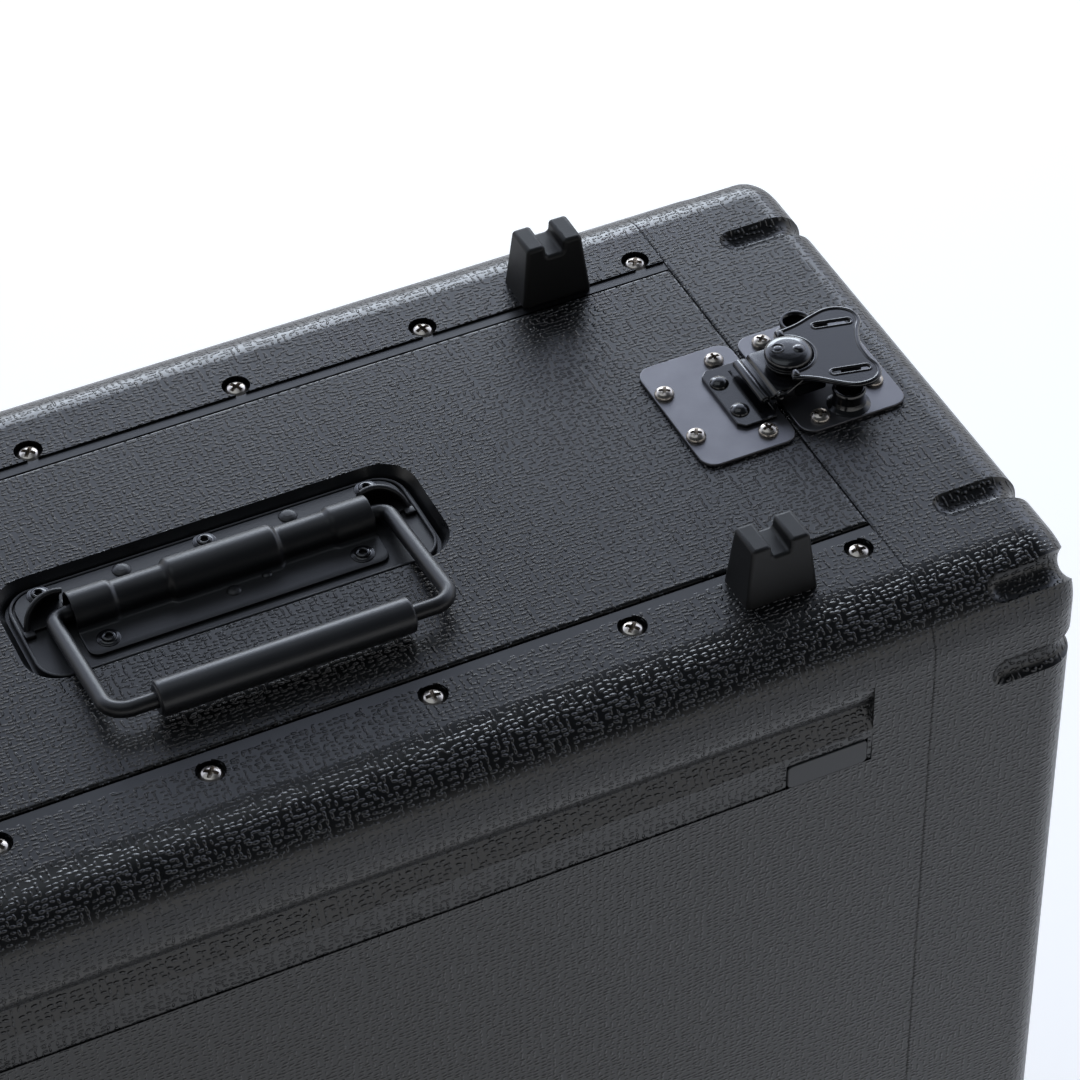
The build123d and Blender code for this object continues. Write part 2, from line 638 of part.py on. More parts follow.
def hood():
    """The half cup behind the bail's arm at the barrel's end."""
    centre = Pos(HOOD_REACH, BARREL_PLACE, BASE_TOP)
    cup = centre * Sphere(HOOD_RADIUS) - centre * Sphere(HOOD_RADIUS - SHEET)
    reach = HOOD_RADIUS * 2
    keep = centre * Rot(-HOOD_TILT, 0, 0) * block(-reach, reach, 0, reach, -reach, reach)
    outside = block(COVER_HALF - HOLE_PLAY, HOOD_REACH + reach, BARREL_PLACE - reach,
                    BARREL_PLACE + reach, BASE_TOP, FACE + reach)
    return cup & keep & outside


def handle_cover():
    """The stamped cover over the upper handle's barrel."""
    body = plate(-COVER_HALF, COVER_HALF, -COVER_NEAR_EDGE, BARREL_PLACE, BASE_TOP, COVER_TOP, SHEET)
    tail = HANDLE_BASE_LENGTH / 2 - 2 * SHEET
    body += plate(-tail, tail, BARREL_PLACE, COVER_FAR_EDGE, BASE_TOP, COVER_TOP,
                  HANDLE_BASE_CORNER - 2 * SHEET)
    body += block(-COVER_HALF, COVER_HALF, 0, COVER_FAR_EDGE / 2, BASE_TOP, COVER_TOP)
    body += barrel_form(0, COVER_HALF)
    cup = hood()
    body += cup + rear(cup)
    body -= barrel_form(SHEET, COVER_HALF + 1)
    hollow = block(-COVER_HALF - 1, COVER_HALF + 1, BARREL_PLACE - BARREL_WAIST_RADIUS + SHEET,
                   BARREL_PLACE + BARREL_WAIST_RADIUS - SHEET, BASE_TOP - 1, BARREL_AXIS)
    body -= hollow
    for side in SIDES:
        body -= rod_x(side * tail, side * COVER_HALF, BARREL_PLACE, BARREL_AXIS, BAIL_WIRE + BAIL_PLAY)
    for x, y, radius in DIMPLES:
        bump = Pos(x, BARREL_PLACE + y, COVER_TOP + DIMPLE_HEIGHT - radius) * Sphere(radius)
        body += bump & rod(x, BARREL_PLACE + y, COVER_TOP - SHEET / 2, COVER_TOP + radius, radius)
    for x, y in rivet_places():
        body -= rod(x, y, BASE_TOP - 1, COVER_TOP + 1, RIVET_RADIUS + HOLE_PLAY)
    return body


def hollow_rivet(x, y):
    """One hollow rivet through cover, base, panel and board."""
    top = COVER_TOP + RIVET_HEAD_HEIGHT
    head = rod(x, y, COVER_TOP, top, RIVET_HEAD)
    head = fillet(head.edges().group_by(Axis.Z)[-1], RIVET_HEAD_ROUND)
    stem = rod(x, y, BOARD_BOTTOM - RIVET_TAIL, COVER_TOP, RIVET_RADIUS)
    tail = rod(x, y, BOARD_BOTTOM - RIVET_TAIL, BOARD_BOTTOM, RIVET_HEAD)
    return head + stem + tail - rod(x, y, BOARD_BOTTOM - RIVET_TAIL - 1, top + 1, RIVET_BORE)


def bail_point(x, reach):
    """A point of the bail at rest, by its distance from the barrel's axis."""
    lift = radians(BAIL_LIFT)
    return (x, BARREL_PLACE - reach * cos(lift), BARREL_AXIS + reach * sin(lift))


def bail():
    """The upper wire bail, with its ends turned into the barrel."""
    inner = BAIL_HALF_SPAN - BAIL_STUB
    points = [bail_point(inner, 0), bail_point(BAIL_HALF_SPAN, 0),
              bail_point(BAIL_HALF_SPAN, BAIL_REACH), bail_point(-BAIL_HALF_SPAN, BAIL_REACH),
              bail_point(-BAIL_HALF_SPAN, 0), bail_point(-inner, 0)]
    path = FilletPolyline(*points, radius=(BAIL_STUB_BEND, BAIL_BEND, BAIL_BEND, BAIL_STUB_BEND))
    start = Plane(origin=points[0], x_dir=(0, 1, 0), z_dir=(1, 0, 0))
    return sweep(start * Circle(BAIL_WIRE), path=path)


def grip():
    """The sleeve on the upper bail."""
    x, y, z = bail_point(0, BAIL_REACH)
    sleeve = rod_x(-GRIP_LENGTH / 2, GRIP_LENGTH / 2, y, z, GRIP_RADIUS)
    sleeve = fillet(sleeve.edges().filter_by(GeomType.CIRCLE), GRIP_ROUND)
    return sleeve - rod_x(-GRIP_LENGTH, GRIP_LENGTH, y, z, BAIL_WIRE + HOLE_PLAY)


def handle_spring():
    """One torsion spring round a bail end inside the barrel."""
    end = BARREL_WAIST_HALF + BARREL_RAMP + SPRING_LENGTH
    ring = rod_x(end - SPRING_LENGTH, end, BARREL_PLACE, BARREL_AXIS, SPRING_OUTER)
    return ring - rod_x(0, 2 * end, BARREL_PLACE, BARREL_AXIS, SPRING_INNER)


def keeper_plate():
    """The keeper plate of the front upper latch, on the panel."""
    edge = HALF_DEPTH - KEEPER_GAP
    body = plate(edge - KEEPER_LENGTH, edge, -KEEPER_HALF, KEEPER_HALF, FACE, PLATE_TOP, PLATE_CORNER)
    for x, y in keeper_screw_places():
        body -= shank_hole(x, y, FACE - 1, PLATE_TOP + 1)
    return body


def strike():
    """The strike bracket with its upturned lip, on the keeper plate."""
    back = HALF_DEPTH - STRIKE_BACK
    front = HALF_DEPTH - STRIKE_FRONT
    body = plate(back, front, -STRIKE_HALF, STRIKE_HALF, PLATE_TOP, PLATE_TOP + PLATE, PLATE)
    body += block(front - PLATE, front, -STRIKE_LIP_HALF, STRIKE_LIP_HALF, PLATE_TOP,
                  FACE + STRIKE_LIP_TOP)
    return body


def keeper_fasteners():
    """The four screws and two domed rivets of the front upper keeper."""
    pieces = [pan_screw(x, y, PLATE_TOP, PLATE_TOP - SCREW_LENGTH) for x, y in keeper_screw_places()]
    reach, spread = STRIKE_RIVETS
    seat = PLATE_TOP + PLATE
    sphere = (DOME_RADIUS ** 2 + DOME_HEIGHT ** 2) / (2 * DOME_HEIGHT)
    for side in SIDES:
        dome = Pos(HALF_DEPTH - reach, side * spread, seat + DOME_HEIGHT - sphere) * Sphere(sphere)
        pieces.append(dome & rod(HALF_DEPTH - reach, side * spread, seat, seat + 1 + DOME_HEIGHT,
                                 DOME_RADIUS))
    return pieces


def latch_plate():
    """The front upper latch plate: base, knob boss and post, two eyes and two tabs."""
    edge = HALF_DEPTH + LATCH_GAP
    body = plate(edge, edge + LATCH_LENGTH, -LATCH_HALF, LATCH_HALF, FACE, PLATE_TOP, PLATE_CORNER)
    body += rod(KNOB_X, 0, PLATE_TOP, FACE + BOSS_TOP, BOSS_RADIUS)
    body += rod(KNOB_X, 0, PLATE_TOP, FACE + POST_TOP, POST_RADIUS)
    for side in SIDES:
        eye_x = HALF_DEPTH + EYE_PLACE[0]
        eye_y = side * EYE_PLACE[1]
        eye = rod(eye_x, eye_y, PLATE_TOP, FACE + EYE_TOP, EYE_RADIUS)
        eye = fillet(eye.edges().group_by(Axis.Z)[-1], PLATE / 2)
        body += eye
        body -= rod(eye_x, eye_y, PLATE_TOP, FACE + EYE_TOP + 1, EYE_BORE)
        tab_x = HALF_DEPTH + TAB_PLACE[0]
        tab_y = side * TAB_PLACE[1]
        body += block(tab_x - TAB_SIZE[0] / 2, tab_x + TAB_SIZE[0] / 2, tab_y - TAB_SIZE[1] / 2,
                      tab_y + TAB_SIZE[1] / 2, PLATE_TOP, FACE + TAB_TOP)
    for x, y in latch_screw_places():
        body -= shank_hole(x, y, FACE - 1, PLATE_TOP + 1)
    return body


def latch_screws():
    """The four screws of the front upper latch plate."""
    return [pan_screw(x, y, PLATE_TOP, PLATE_TOP - LATCH_SCREW_LENGTH)
            for x, y in latch_screw_places()]


def at_knob(shape):
    """Puts a piece drawn round its own axis on the knob's axis, turned as the wing stands."""
    return Pos(KNOB_X, 0, FACE) * Rot(0, 0, WING_TURN) * shape


def knob():
    """The turning knob of the front upper latch, on its post."""
    body = rod(0, 0, NECK_FOOT, COLLAR_FOOT, NECK_RADIUS)
    body += rod(0, 0, COLLAR_FOOT, WAIST_FOOT, COLLAR_RADIUS)
    body += rod(0, 0, WAIST_FOOT, CAP_FOOT, WAIST_RADIUS)
    body += rod(0, 0, CAP_FOOT, CAP_TOP, CAP_RADIUS)
    rise = DOME_TOP - CAP_TOP
    sphere = (CAP_RADIUS ** 2 + rise ** 2) / (2 * rise)
    body += Pos(0, 0, DOME_TOP - sphere) * Sphere(sphere) & rod(0, 0, CAP_TOP, DOME_TOP, CAP_RADIUS)
    body -= rod(0, 0, NECK_FOOT - 1, POST_TOP + HOLE_PLAY, POST_RADIUS + HOLE_PLAY)
    for side in SIDES:
        hole = Pos(0, side * WAIST_RADIUS, WING_AXIS) * Rot(90, 0, 0)
        reach = WAIST_RADIUS - WING_PIN_REACH + WING_PIN_PLAY
        body -= hole * Cylinder(WING_PIN_RADIUS + WING_PIN_PLAY, 2 * reach)
    return at_knob(body)


def wing():
    """The flat wing of the front upper latch, hinged on the knob's waist."""
    half = [
        (WING_WAIST, 0),
        WING_CORNER,
        WING_TIP,
        WING_SHOULDER,
        WING_ARM,
    ]
    right = Spline(half[0], half[1], half[2], half[3], half[4],
                   tangents=((0, 1), (-1, 0)))
    left = mirror(right, about=Plane.XZ)
    back = Line(WING_ARM, (WING_ARM[0], -WING_ARM[1]))
    outline = make_face([right, left, back])
    outline -= Circle(WING_CUT_RADIUS)
    outline -= Pos(-WING_CUT_RADIUS, 0) * Rectangle(2 * WING_CUT_RADIUS, 2 * WING_CUT_RADIUS)
    for side in SIDES:
        slot = SlotOverall(WING_SLOT_LENGTH, WING_SLOT_WIDTH)
        outline -= Pos(WING_SLOT_PLACE[0], side * WING_SLOT_PLACE[1]) * slot
    body = extrude(Pos(0, 0, WING_AXIS - WING_SHEET / 2) * outline, WING_SHEET)
    outer = WING_CUT_RADIUS + WING_SHEET
    for side in SIDES:
        pin = Pos(0, side * (WING_PIN_REACH + outer) / 2, WING_AXIS) * Rot(90, 0, 0)
        body += pin * Cylinder(WING_PIN_RADIUS, outer - WING_PIN_REACH)
    return at_knob(body)


def hook():
    """The hook of the front upper latch, which slides forward and up, with its rolled claw."""
    top = FACE + HOOK_TOP
    roll_x = HALF_DEPTH - ROLL_PLACE
    bend_x = HALF_DEPTH - STRIKE_FRONT + HOOK_PLAY
    back = HALF_DEPTH + HOOK_BACK
    body = block(bend_x, back, -HOOK_HALF, HOOK_HALF, top - HOOK_SHEET, top)
    corners = [(bend_x, top), (bend_x, top - HOOK_SHEET)]
    for angle in (CLAW_NEAR_ANGLE, CLAW_FAR_ANGLE):
        corners.append((roll_x + ROLL_RADIUS * cos(radians(angle)),
                        FACE + ROLL_AXIS + ROLL_RADIUS * sin(radians(angle))))
    side_plane = Plane(origin=(0, HOOK_HALF, 0), x_dir=(1, 0, 0), z_dir=(0, -1, 0))
    body += extrude(side_plane * make_face(Polyline(*corners, close=True)), 2 * HOOK_HALF)
    body += Pos(roll_x, 0, FACE + ROLL_AXIS) * Rot(90, 0, 0) * Cylinder(ROLL_RADIUS, 2 * HOOK_HALF)
    skirt_start = HALF_DEPTH + LATCH_GAP + HOOK_TRAVEL
    for side in SIDES:
        body += block(skirt_start, back, side * HOOK_HALF, side * (HOOK_HALF - HOOK_SHEET / 2),
                      FACE + HOOK_SKIRT, top)
    gap = NECK_RADIUS + HOOK_PLAY
    slot = rod(KNOB_X, 0, top - HOOK_SHEET - 1, top + 1, gap)
    slot += rod(KNOB_X + HOOK_TRAVEL, 0, top - HOOK_SHEET - 1, top + 1, gap)
    slot += block(KNOB_X, KNOB_X + HOOK_TRAVEL, -gap, gap, top - HOOK_SHEET - 1, top + 1)
    return body - slot


def four_ways(shape):
    """A latch piece at its four places, by name."""
    return {
        "front_upper": shape,
        "front_lower": lower(shape),
        "rear_upper": rear(shape),
        "rear_lower": rear(lower(shape)),
    }


def many_four_ways(shapes):
    """A group of latch pieces at the four places, all together."""
    group = []
    for shape in shapes:
        group.extend(four_ways(shape).values())
    return group


def save_body():
    """Shells, panels, boards, rims, rails and their screws."""
    near = shell()
    save("top_shell", near)
    save("bottom_shell", far(near))
    for name, make in (("panel", panel), ("board", board)):
        piece = make()
        save("upper_" + name, piece)
        save("lower_" + name, lower(piece))
    mouth = rim()
    save("front_rim", mouth)
    save("rear_rim", rear(mouth))
    for place, piece in four_ways(rail()).items():
        save(place + "_rail", piece)
    save("rail_screws", *many_four_ways(rail_screws()))
    flange_screws = [pan_screw(x, y, SCREW_SEAT, SCREW_END) for x, y in screw_row_places()]
    save("shell_screws", *flange_screws, *[lower(screw) for screw in flange_screws])
    pads = [pad_space(side, PAD_THICKNESS, 0) for side in SIDES]
    pads += [far(pad) for pad in pads]
    save("stacking_pads", *pads, *[lower(pad) for pad in pads])


def save_lids():
    """Both lids with their gaskets and latch plate screws."""
    for name, make in (("lid", lid), ("seal", seal)):
        piece = make()
        save("front_" + name, piece)
        save("rear_" + name, rear(piece))
    screws = latch_screws()
    front = screws + [lower(screw) for screw in screws]
    save("front_latch_screws", *front)
    save("rear_latch_screws", *[rear(screw) for screw in front])


def save_feet():
    """The stacking feet of both handle faces."""
    one = foot()
    row = [one, rear(one)]
    group = row + [far(piece) for piece in row]
    save("upper_feet", *group)
    save("lower_feet", *[lower(piece) for piece in group])


def save_handles():
    """Both handles."""
    for name, make in (("handle_base", handle_base), ("handle_cover", handle_cover),
                       ("bail", bail), ("grip", grip)):
        piece = make()
        save("upper_" + name, piece)
        save("lower_" + name, lower(piece))
    save("handle_springs", *four_ways(handle_spring()).values())
    rivets = [hollow_rivet(x, y) for x, y in rivet_places()]
    save("handle_rivets", *rivets, *[lower(rivet) for rivet in rivets])


def save_latches():
    """The four latches with their keepers."""
    for name, make in (("keeper_plate", keeper_plate), ("strike", strike),
                       ("latch_plate", latch_plate), ("knob", knob), ("wing", wing),
                       ("hook", hook)):
        for place, piece in four_ways(make()).items():
            save(place + "_" + name, piece)
    save("keeper_fasteners", *many_four_ways(keeper_fasteners()))


os.makedirs("parts", exist_ok=True)
save_body()
save_lids()
save_feet()
save_handles()
save_latches()
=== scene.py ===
import json
import math
import random

import bmesh
import bpy
from mathutils import Matrix, Vector


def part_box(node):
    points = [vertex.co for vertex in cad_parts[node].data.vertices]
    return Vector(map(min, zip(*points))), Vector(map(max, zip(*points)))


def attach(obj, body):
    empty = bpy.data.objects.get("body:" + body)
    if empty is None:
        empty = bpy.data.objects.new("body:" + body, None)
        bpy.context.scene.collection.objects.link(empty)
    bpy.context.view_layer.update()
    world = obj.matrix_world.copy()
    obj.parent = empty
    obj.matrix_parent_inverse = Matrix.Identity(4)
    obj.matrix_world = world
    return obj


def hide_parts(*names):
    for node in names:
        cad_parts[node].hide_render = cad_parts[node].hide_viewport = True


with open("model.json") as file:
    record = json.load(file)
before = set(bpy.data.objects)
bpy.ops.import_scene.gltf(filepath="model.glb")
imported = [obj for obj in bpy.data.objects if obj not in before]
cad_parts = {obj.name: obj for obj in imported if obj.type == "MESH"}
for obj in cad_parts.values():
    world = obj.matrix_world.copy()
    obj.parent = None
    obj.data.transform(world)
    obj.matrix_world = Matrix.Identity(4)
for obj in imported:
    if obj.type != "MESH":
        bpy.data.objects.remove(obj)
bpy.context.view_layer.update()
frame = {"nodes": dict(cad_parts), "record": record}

MM = 0.001
NODES = frame["nodes"]

# Places read from the frame, in metres
SHELL_LOW, SHELL_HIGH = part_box("top_shell")
LID_LOW, LID_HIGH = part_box("front_lid")
FACE = SHELL_HIGH.z
FLOOR = SHELL_LOW.z
MID = (FACE + FLOOR) / 2
SEAM = LID_LOW.x
SIDE = LID_HIGH.y

# The sizes of the pieces are in millimetres, with heights from the upper face

# Case
END = SEAM / MM
EDGE_RADIUS = 25.0
FLANGE_EDGE = 80.5
FLANGE_STEP = 4.5
POCKET_HALF = (80.5, 27.25)
POCKET_CORNER = 14.0
POCKET_FLOOR = -5.5

# Screws and rivets, with the radius and height of each head
FLANGE_HEAD = (4.6, 3.4)
FLANGE_SCREW_LENGTH = 12
RECESS_DEPTH = 3.8
SCREW_ROW = 90.0
SCREW_PLACES = (41.0, 117.0, 206.4)
RAIL_HEAD = (4.15, 2.4)
RAIL_SCREW_LENGTH = 11.5
RAIL_SCREW_ROW = (-72.0, -24.0, 24.0, 72.0)
RAIL_SCREW_X = 177.0
RAIL_SCREW_SEAT = -19.5
PLATE_HEAD = (3.8, 2.5)
LATCH_SCREW_LENGTH = 7
LATCH_SCREWS = ((10.4, 23.3), (37.7, 14.0))
KEEPER_SCREW_LENGTH = 12
KEEPER_SCREWS = ((10.3, 22.0), (35.3, 13.0))
STRIKE_DOME = (3.7, 2.0)
STRIKE_RIVETS = (15.0, 8.4)

# Latches
PLATE = 1.5
PLATE_CORNER = 6
KEEPER_NEAR = 1.0
KEEPER_FAR = 39.5
KEEPER_HALF = 30
LATCH_NEAR = 1.3
LATCH_FAR = 44.5
LATCH_HALF = 29.5
EYELET_PLACE = (23.5, 21.0)
TAB_ROW = 13.0
KNOB_PLACE = 9.0
KNOB_TURN = -26
MARK_PLACE = 3.9
MARK_TILT = 0.08
WING_TURN = -13.0
WING_LOW = 13.2
WING_HIGH = 14.8
WING_AXIS = 14.0
WING_CUT_RADIUS = 10.2
WING_ARM_END = 1.0
WING_RIM = 1.0
WING_SLOT = (12.6, 28.0)
WING_SLOT_ROW = 13.5
WING_SLOT_HALF = 1.7
SLOT_RIM = 0.75
HOOK_HALF = 11.7
HOOK_TOP = 9.4
ROLL_PLACE = (-6.1, 6.8)
ROLL_RADIUS = 1.8

# Handles
HANDLE_HALF = (76.0, 23.8)
HANDLE_CORNER = 11
HANDLE_SHEET = 1.2
BASE_TOP = -4.3
COVER_TOP = -3.1
COVER_SHEET = 1.15
COVER_HALF = 57.0
COVER_CORNER = 4.0
COVER_NEAR_EDGE = -18.3
COVER_TAIL = 73.6
COVER_NOTCH = (56.5, 13.4)
BARREL_AXIS = -0.2
BARREL_PLACE = 3.0
BARREL_STEPS = ((19.5, 8.2, 6.6), (40.0, 6.6, 7.6))
BARREL_RAMP = 2.5
HOOD_PLACE = 61.0
HOOD_START = 56.9
HOOD_RADIUS = 12.5
HOOD_TILT = 38.0
BAIL_WIRE = 3.0
BAIL_HALF = 64.0
BAIL_INNER = 47.0
BAIL_REACH = 61.6
BAIL_LIFT = 7.4
HANDLE_RIVETS = ((-63, 19.2), (0, 19.2), (63, 19.2), (-48.3, -12.0), (48.3, -12.0))
RIVET_FOOT = -18.0
SPRING_PLACE = 43.0
SPRING_LENGTH = 11.2
SPRING_RADIUS = 3.6
SPRING_TURNS = 12

# Feet and pads
FOOT_PLACE = (170.2, 92.0)
FOOT_BASE = (28.5, 18.5)
FOOT_TOP = (22.5, 14.8)
FOOT_HEIGHT = 25
FOOT_SINK = 1.5
PAD_PLACE = 174.1
PAD_DROP = 57.7
PAD_HALF = (15.85, 5.35)

# The photograph's camera, whose place is in metres, and the lamps' tint
CAMERA_PLACE = (-0.3270, -0.9969, 1.5306)
CAMERA_RIGHT = (0.90482, -0.42548, -0.01655)
CAMERA_UP = (0.30162, 0.613, 0.73024)
CAMERA_LENS = 135.05
LAMP_COLOUR = (0.84, 0.92, 1.0)

# The four latches: each one's sign along X and along Z
PLACES = {
    "front_upper": (1, 1),
    "front_lower": (1, -1),
    "rear_upper": (-1, 1),
    "rear_lower": (-1, -1),
}
FACES = {"upper": 1, "lower": -1}
SLOTS = {row["node"]: row["material_slot"] for row in frame["record"]["subparts"]}


# Shader node helpers

def new_material(name):
    """An empty material with a principled shader, and its node tree."""
    material = bpy.data.materials.new(name)
    material.use_nodes = True
    tree = material.node_tree
    return material, tree, tree.nodes["Principled BSDF"]


def add(tree, kind, inputs=None, **settings):
    """Adds a shader node, with its settings and what goes into its sockets."""
    made = tree.nodes.new("ShaderNode" + kind)
    for key, value in settings.items():
        setattr(made, key, value)
    for key, value in (inputs or {}).items():
        if isinstance(value, bpy.types.NodeSocket):
            tree.links.new(value, made.inputs[key])
        else:
            made.inputs[key].default_value = value
    return made


def calc(tree, operation, *values):
    """One math node's result."""
    inputs = {index: value for index, value in enumerate(values)}
    return add(tree, "Math", inputs, operation=operation).outputs[0]


def ramp(tree, value, low, high, out_low=0.0, out_high=1.0):
    """A smooth step of a value between two limits."""
    inputs = {0: value, 1: low, 2: high, 3: out_low, 4: out_high}
    made = add(tree, "MapRange", inputs, interpolation_type="SMOOTHSTEP")
    return made.outputs[0]


def object_point(tree):
    """The point on the object, in millimetres, and its three parts."""
    place = add(tree, "TexCoord").outputs["Object"]
    scaled = add(tree, "VectorMath", {0: place, 3: 1 / MM}, operation="SCALE").outputs[0]
    parts = add(tree, "SeparateXYZ", {0: scaled})
    return scaled, parts.outputs[0], parts.outputs[1], parts.outputs[2]


def noise(tree, point, size, detail=2.0, roughness=0.5):
    """Noise whose features are about so many millimetres across."""
    inputs = {"Vector": point, "Scale": 1 / size, "Detail": detail, "Roughness": roughness}
    return add(tree, "TexNoise", inputs).outputs[0]


def mix_colour(tree, share, low, high):
    """A mix of two colours by a share."""
    made = add(tree, "Mix", data_type="RGBA")
    for index, value in ((0, share), (6, low), (7, high)):
        if isinstance(value, bpy.types.NodeSocket):
            tree.links.new(value, made.inputs[index])
        else:
            made.inputs[index].default_value = value
    return made.outputs[2]


def tone(red, green, blue):
    """A colour with its alpha."""
    return (red, green, blue, 1.0)


# The moulded grain

def wrapped_point(tree):
    """Distances along the case and round it, so that the grain follows the rounded edges."""
    _, x, y, z = object_point(tree)
    height = calc(tree, "ABSOLUTE", calc(tree, "SUBTRACT", z, MID / MM))
    side = calc(tree, "ABSOLUTE", y)
    flat_y = SIDE / MM - EDGE_RADIUS
    flat_z = (FACE - MID) / MM - EDGE_RADIUS
    over_y = calc(tree, "MAXIMUM", calc(tree, "SUBTRACT", side, flat_y), 0.0)
    over_z = calc(tree, "MAXIMUM", calc(tree, "SUBTRACT", height, flat_z), 0.0)
    angle = calc(tree, "ARCTAN2", over_z, calc(tree, "MAXIMUM", over_y, 0.0001))
    arc = calc(tree, "MULTIPLY", calc(tree, "SUBTRACT", math.pi / 2, angle), EDGE_RADIUS)
    down = calc(tree, "SUBTRACT", flat_z, calc(tree, "MINIMUM", height, flat_z))
    round_way = calc(tree, "ADD", calc(tree, "ADD", calc(tree, "MINIMUM", side, flat_y), arc), down)
    signed = calc(tree, "MULTIPLY", round_way, calc(tree, "SIGN", y))
    facing = add(tree, "SeparateXYZ", {0: add(tree, "TexCoord").outputs["Normal"]}).outputs[0]
    end = calc(tree, "GREATER_THAN", calc(tree, "ABSOLUTE", facing), 0.72)
    along = add(tree, "CombineXYZ", {0: x, 1: signed})
    across = add(tree, "CombineXYZ", {0: z, 1: y})
    made = add(tree, "Mix", {0: end, 4: along.outputs[0], 5: across.outputs[0]}, data_type="VECTOR")
    return made.outputs[1]


def bean_grain(tree, point, pitch, bean, turned):
    """The height of small raised beans, most of them along the case and some turned across it."""
    warp = add(tree, "TexNoise", {"Vector": point, "Scale": 0.2, "Detail": 1.0})
    shift = add(tree, "VectorMath", {0: warp.outputs[1], 1: (0.5, 0.5, 0.5)}, operation="SUBTRACT")
    bent = add(tree, "VectorMath", {0: shift.outputs[0], 1: (0.8, 0.8, 0.0), 2: point},
               operation="MULTIPLY_ADD").outputs[0]
    scaled = add(tree, "VectorMath", {0: bent, 1: (1 / pitch[0], 1 / pitch[1], 0.0)},
                 operation="MULTIPLY").outputs[0]
    cells = add(tree, "TexVoronoi", {"Vector": scaled, "Scale": 1.0, "Randomness": 0.55},
                voronoi_dimensions="2D")
    away = add(tree, "VectorMath", {0: scaled, 1: cells.outputs["Position"]},
               operation="SUBTRACT").outputs[0]
    real = add(tree, "VectorMath", {0: away, 1: (pitch[0], pitch[1], 0.0)},
               operation="MULTIPLY").outputs[0]
    chance = add(tree, "SeparateColor", {0: cells.outputs["Color"]})
    across = calc(tree, "MULTIPLY", calc(tree, "LESS_THAN", chance.outputs[0], turned), math.pi / 2)
    wobble = calc(tree, "MULTIPLY_ADD", chance.outputs[1], 0.5, -0.25)
    angle = calc(tree, "ADD", across, wobble)
    turned_way = add(tree, "VectorRotate", {"Vector": real, "Angle": angle}, rotation_type="Z_AXIS")
    shape = add(tree, "VectorMath", {0: turned_way.outputs[0], 1: (1 / bean[0], 1 / bean[1], 0.0)},
                operation="MULTIPLY").outputs[0]
    reach = add(tree, "VectorMath", {0: shape}, operation="LENGTH").outputs["Value"]
    size = calc(tree, "MULTIPLY_ADD", chance.outputs[2], 0.4, 0.8)
    return ramp(tree, calc(tree, "DIVIDE", reach, size), 1.15, 0.4)


def grained_plastic(name, depth, smooth_mask=None, base=0.009, pitch=(2.6, 1.85), bean=(1.08, 0.5)):
    """Black moulded plastic with raised grain, which a mask can leave smooth in places."""
    material, tree, shader = new_material(name)
    point = wrapped_point(tree)
    grain = bean_grain(tree, point, pitch, bean, 0.24)
    if smooth_mask is not None:
        grain = calc(tree, "MULTIPLY", grain, smooth_mask(tree))
    whole, _, _, _ = object_point(tree)
    fine = noise(tree, whole, 0.5, 3.0, 0.6)
    broad = noise(tree, whole, 60.0, 3.0, 0.6)
    height = calc(tree, "MULTIPLY_ADD", fine, 0.03, grain)
    bump = add(tree, "Bump", {"Strength": 1.0, "Distance": depth * MM, "Height": height})
    tree.links.new(bump.outputs[0], shader.inputs["Normal"])
    # Painted shade: the colour is darker in the valleys between the beans and lighter on their tops, mixed
    # with a broad random tone
    valley_shade_and_tone = calc(tree, "MULTIPLY_ADD", broad, 0.3, calc(tree, "MULTIPLY", grain, 0.7))
    colour = mix_colour(tree, valley_shade_and_tone, tone(base * 0.2, base * 0.2, base * 0.22),
                        tone(base * 1.6, base * 1.65, base * 1.8))
    tree.links.new(colour, shader.inputs["Base Color"])
    rough = calc(tree, "MULTIPLY_ADD", broad, 0.08, 0.24)
    tree.links.new(calc(tree, "MULTIPLY_ADD", grain, -0.08, rough), shader.inputs["Roughness"])
    shader.inputs["Specular IOR Level"].default_value = 0.62
    return material


def panel_smooth(tree):
    """0 in the handle pocket, where the panel is smooth, and 1 elsewhere."""
    _, x, y, _ = object_point(tree)
    over_x = calc(tree, "MAXIMUM",
                  calc(tree, "SUBTRACT", calc(tree, "ABSOLUTE", x), POCKET_HALF[0] - POCKET_CORNER), 0.0)
    over_y = calc(tree, "MAXIMUM",
                  calc(tree, "SUBTRACT", calc(tree, "ABSOLUTE", y), POCKET_HALF[1] - POCKET_CORNER), 0.0)
    reach = calc(tree, "SQRT", calc(tree, "ADD", calc(tree, "MULTIPLY", over_x, over_x),
                                    calc(tree, "MULTIPLY", over_y, over_y)))
    return ramp(tree, reach, POCKET_CORNER - 0.2, POCKET_CORNER + 0.8)


def flange_smooth(tree):
    """0 on the flange's smooth edge strip, and 1 elsewhere."""
    _, _, y, _ = object_point(tree)
    side = calc(tree, "ABSOLUTE", y)
    return ramp(tree, side, FLANGE_EDGE + FLANGE_STEP, FLANGE_EDGE + FLANGE_STEP + 0.8)


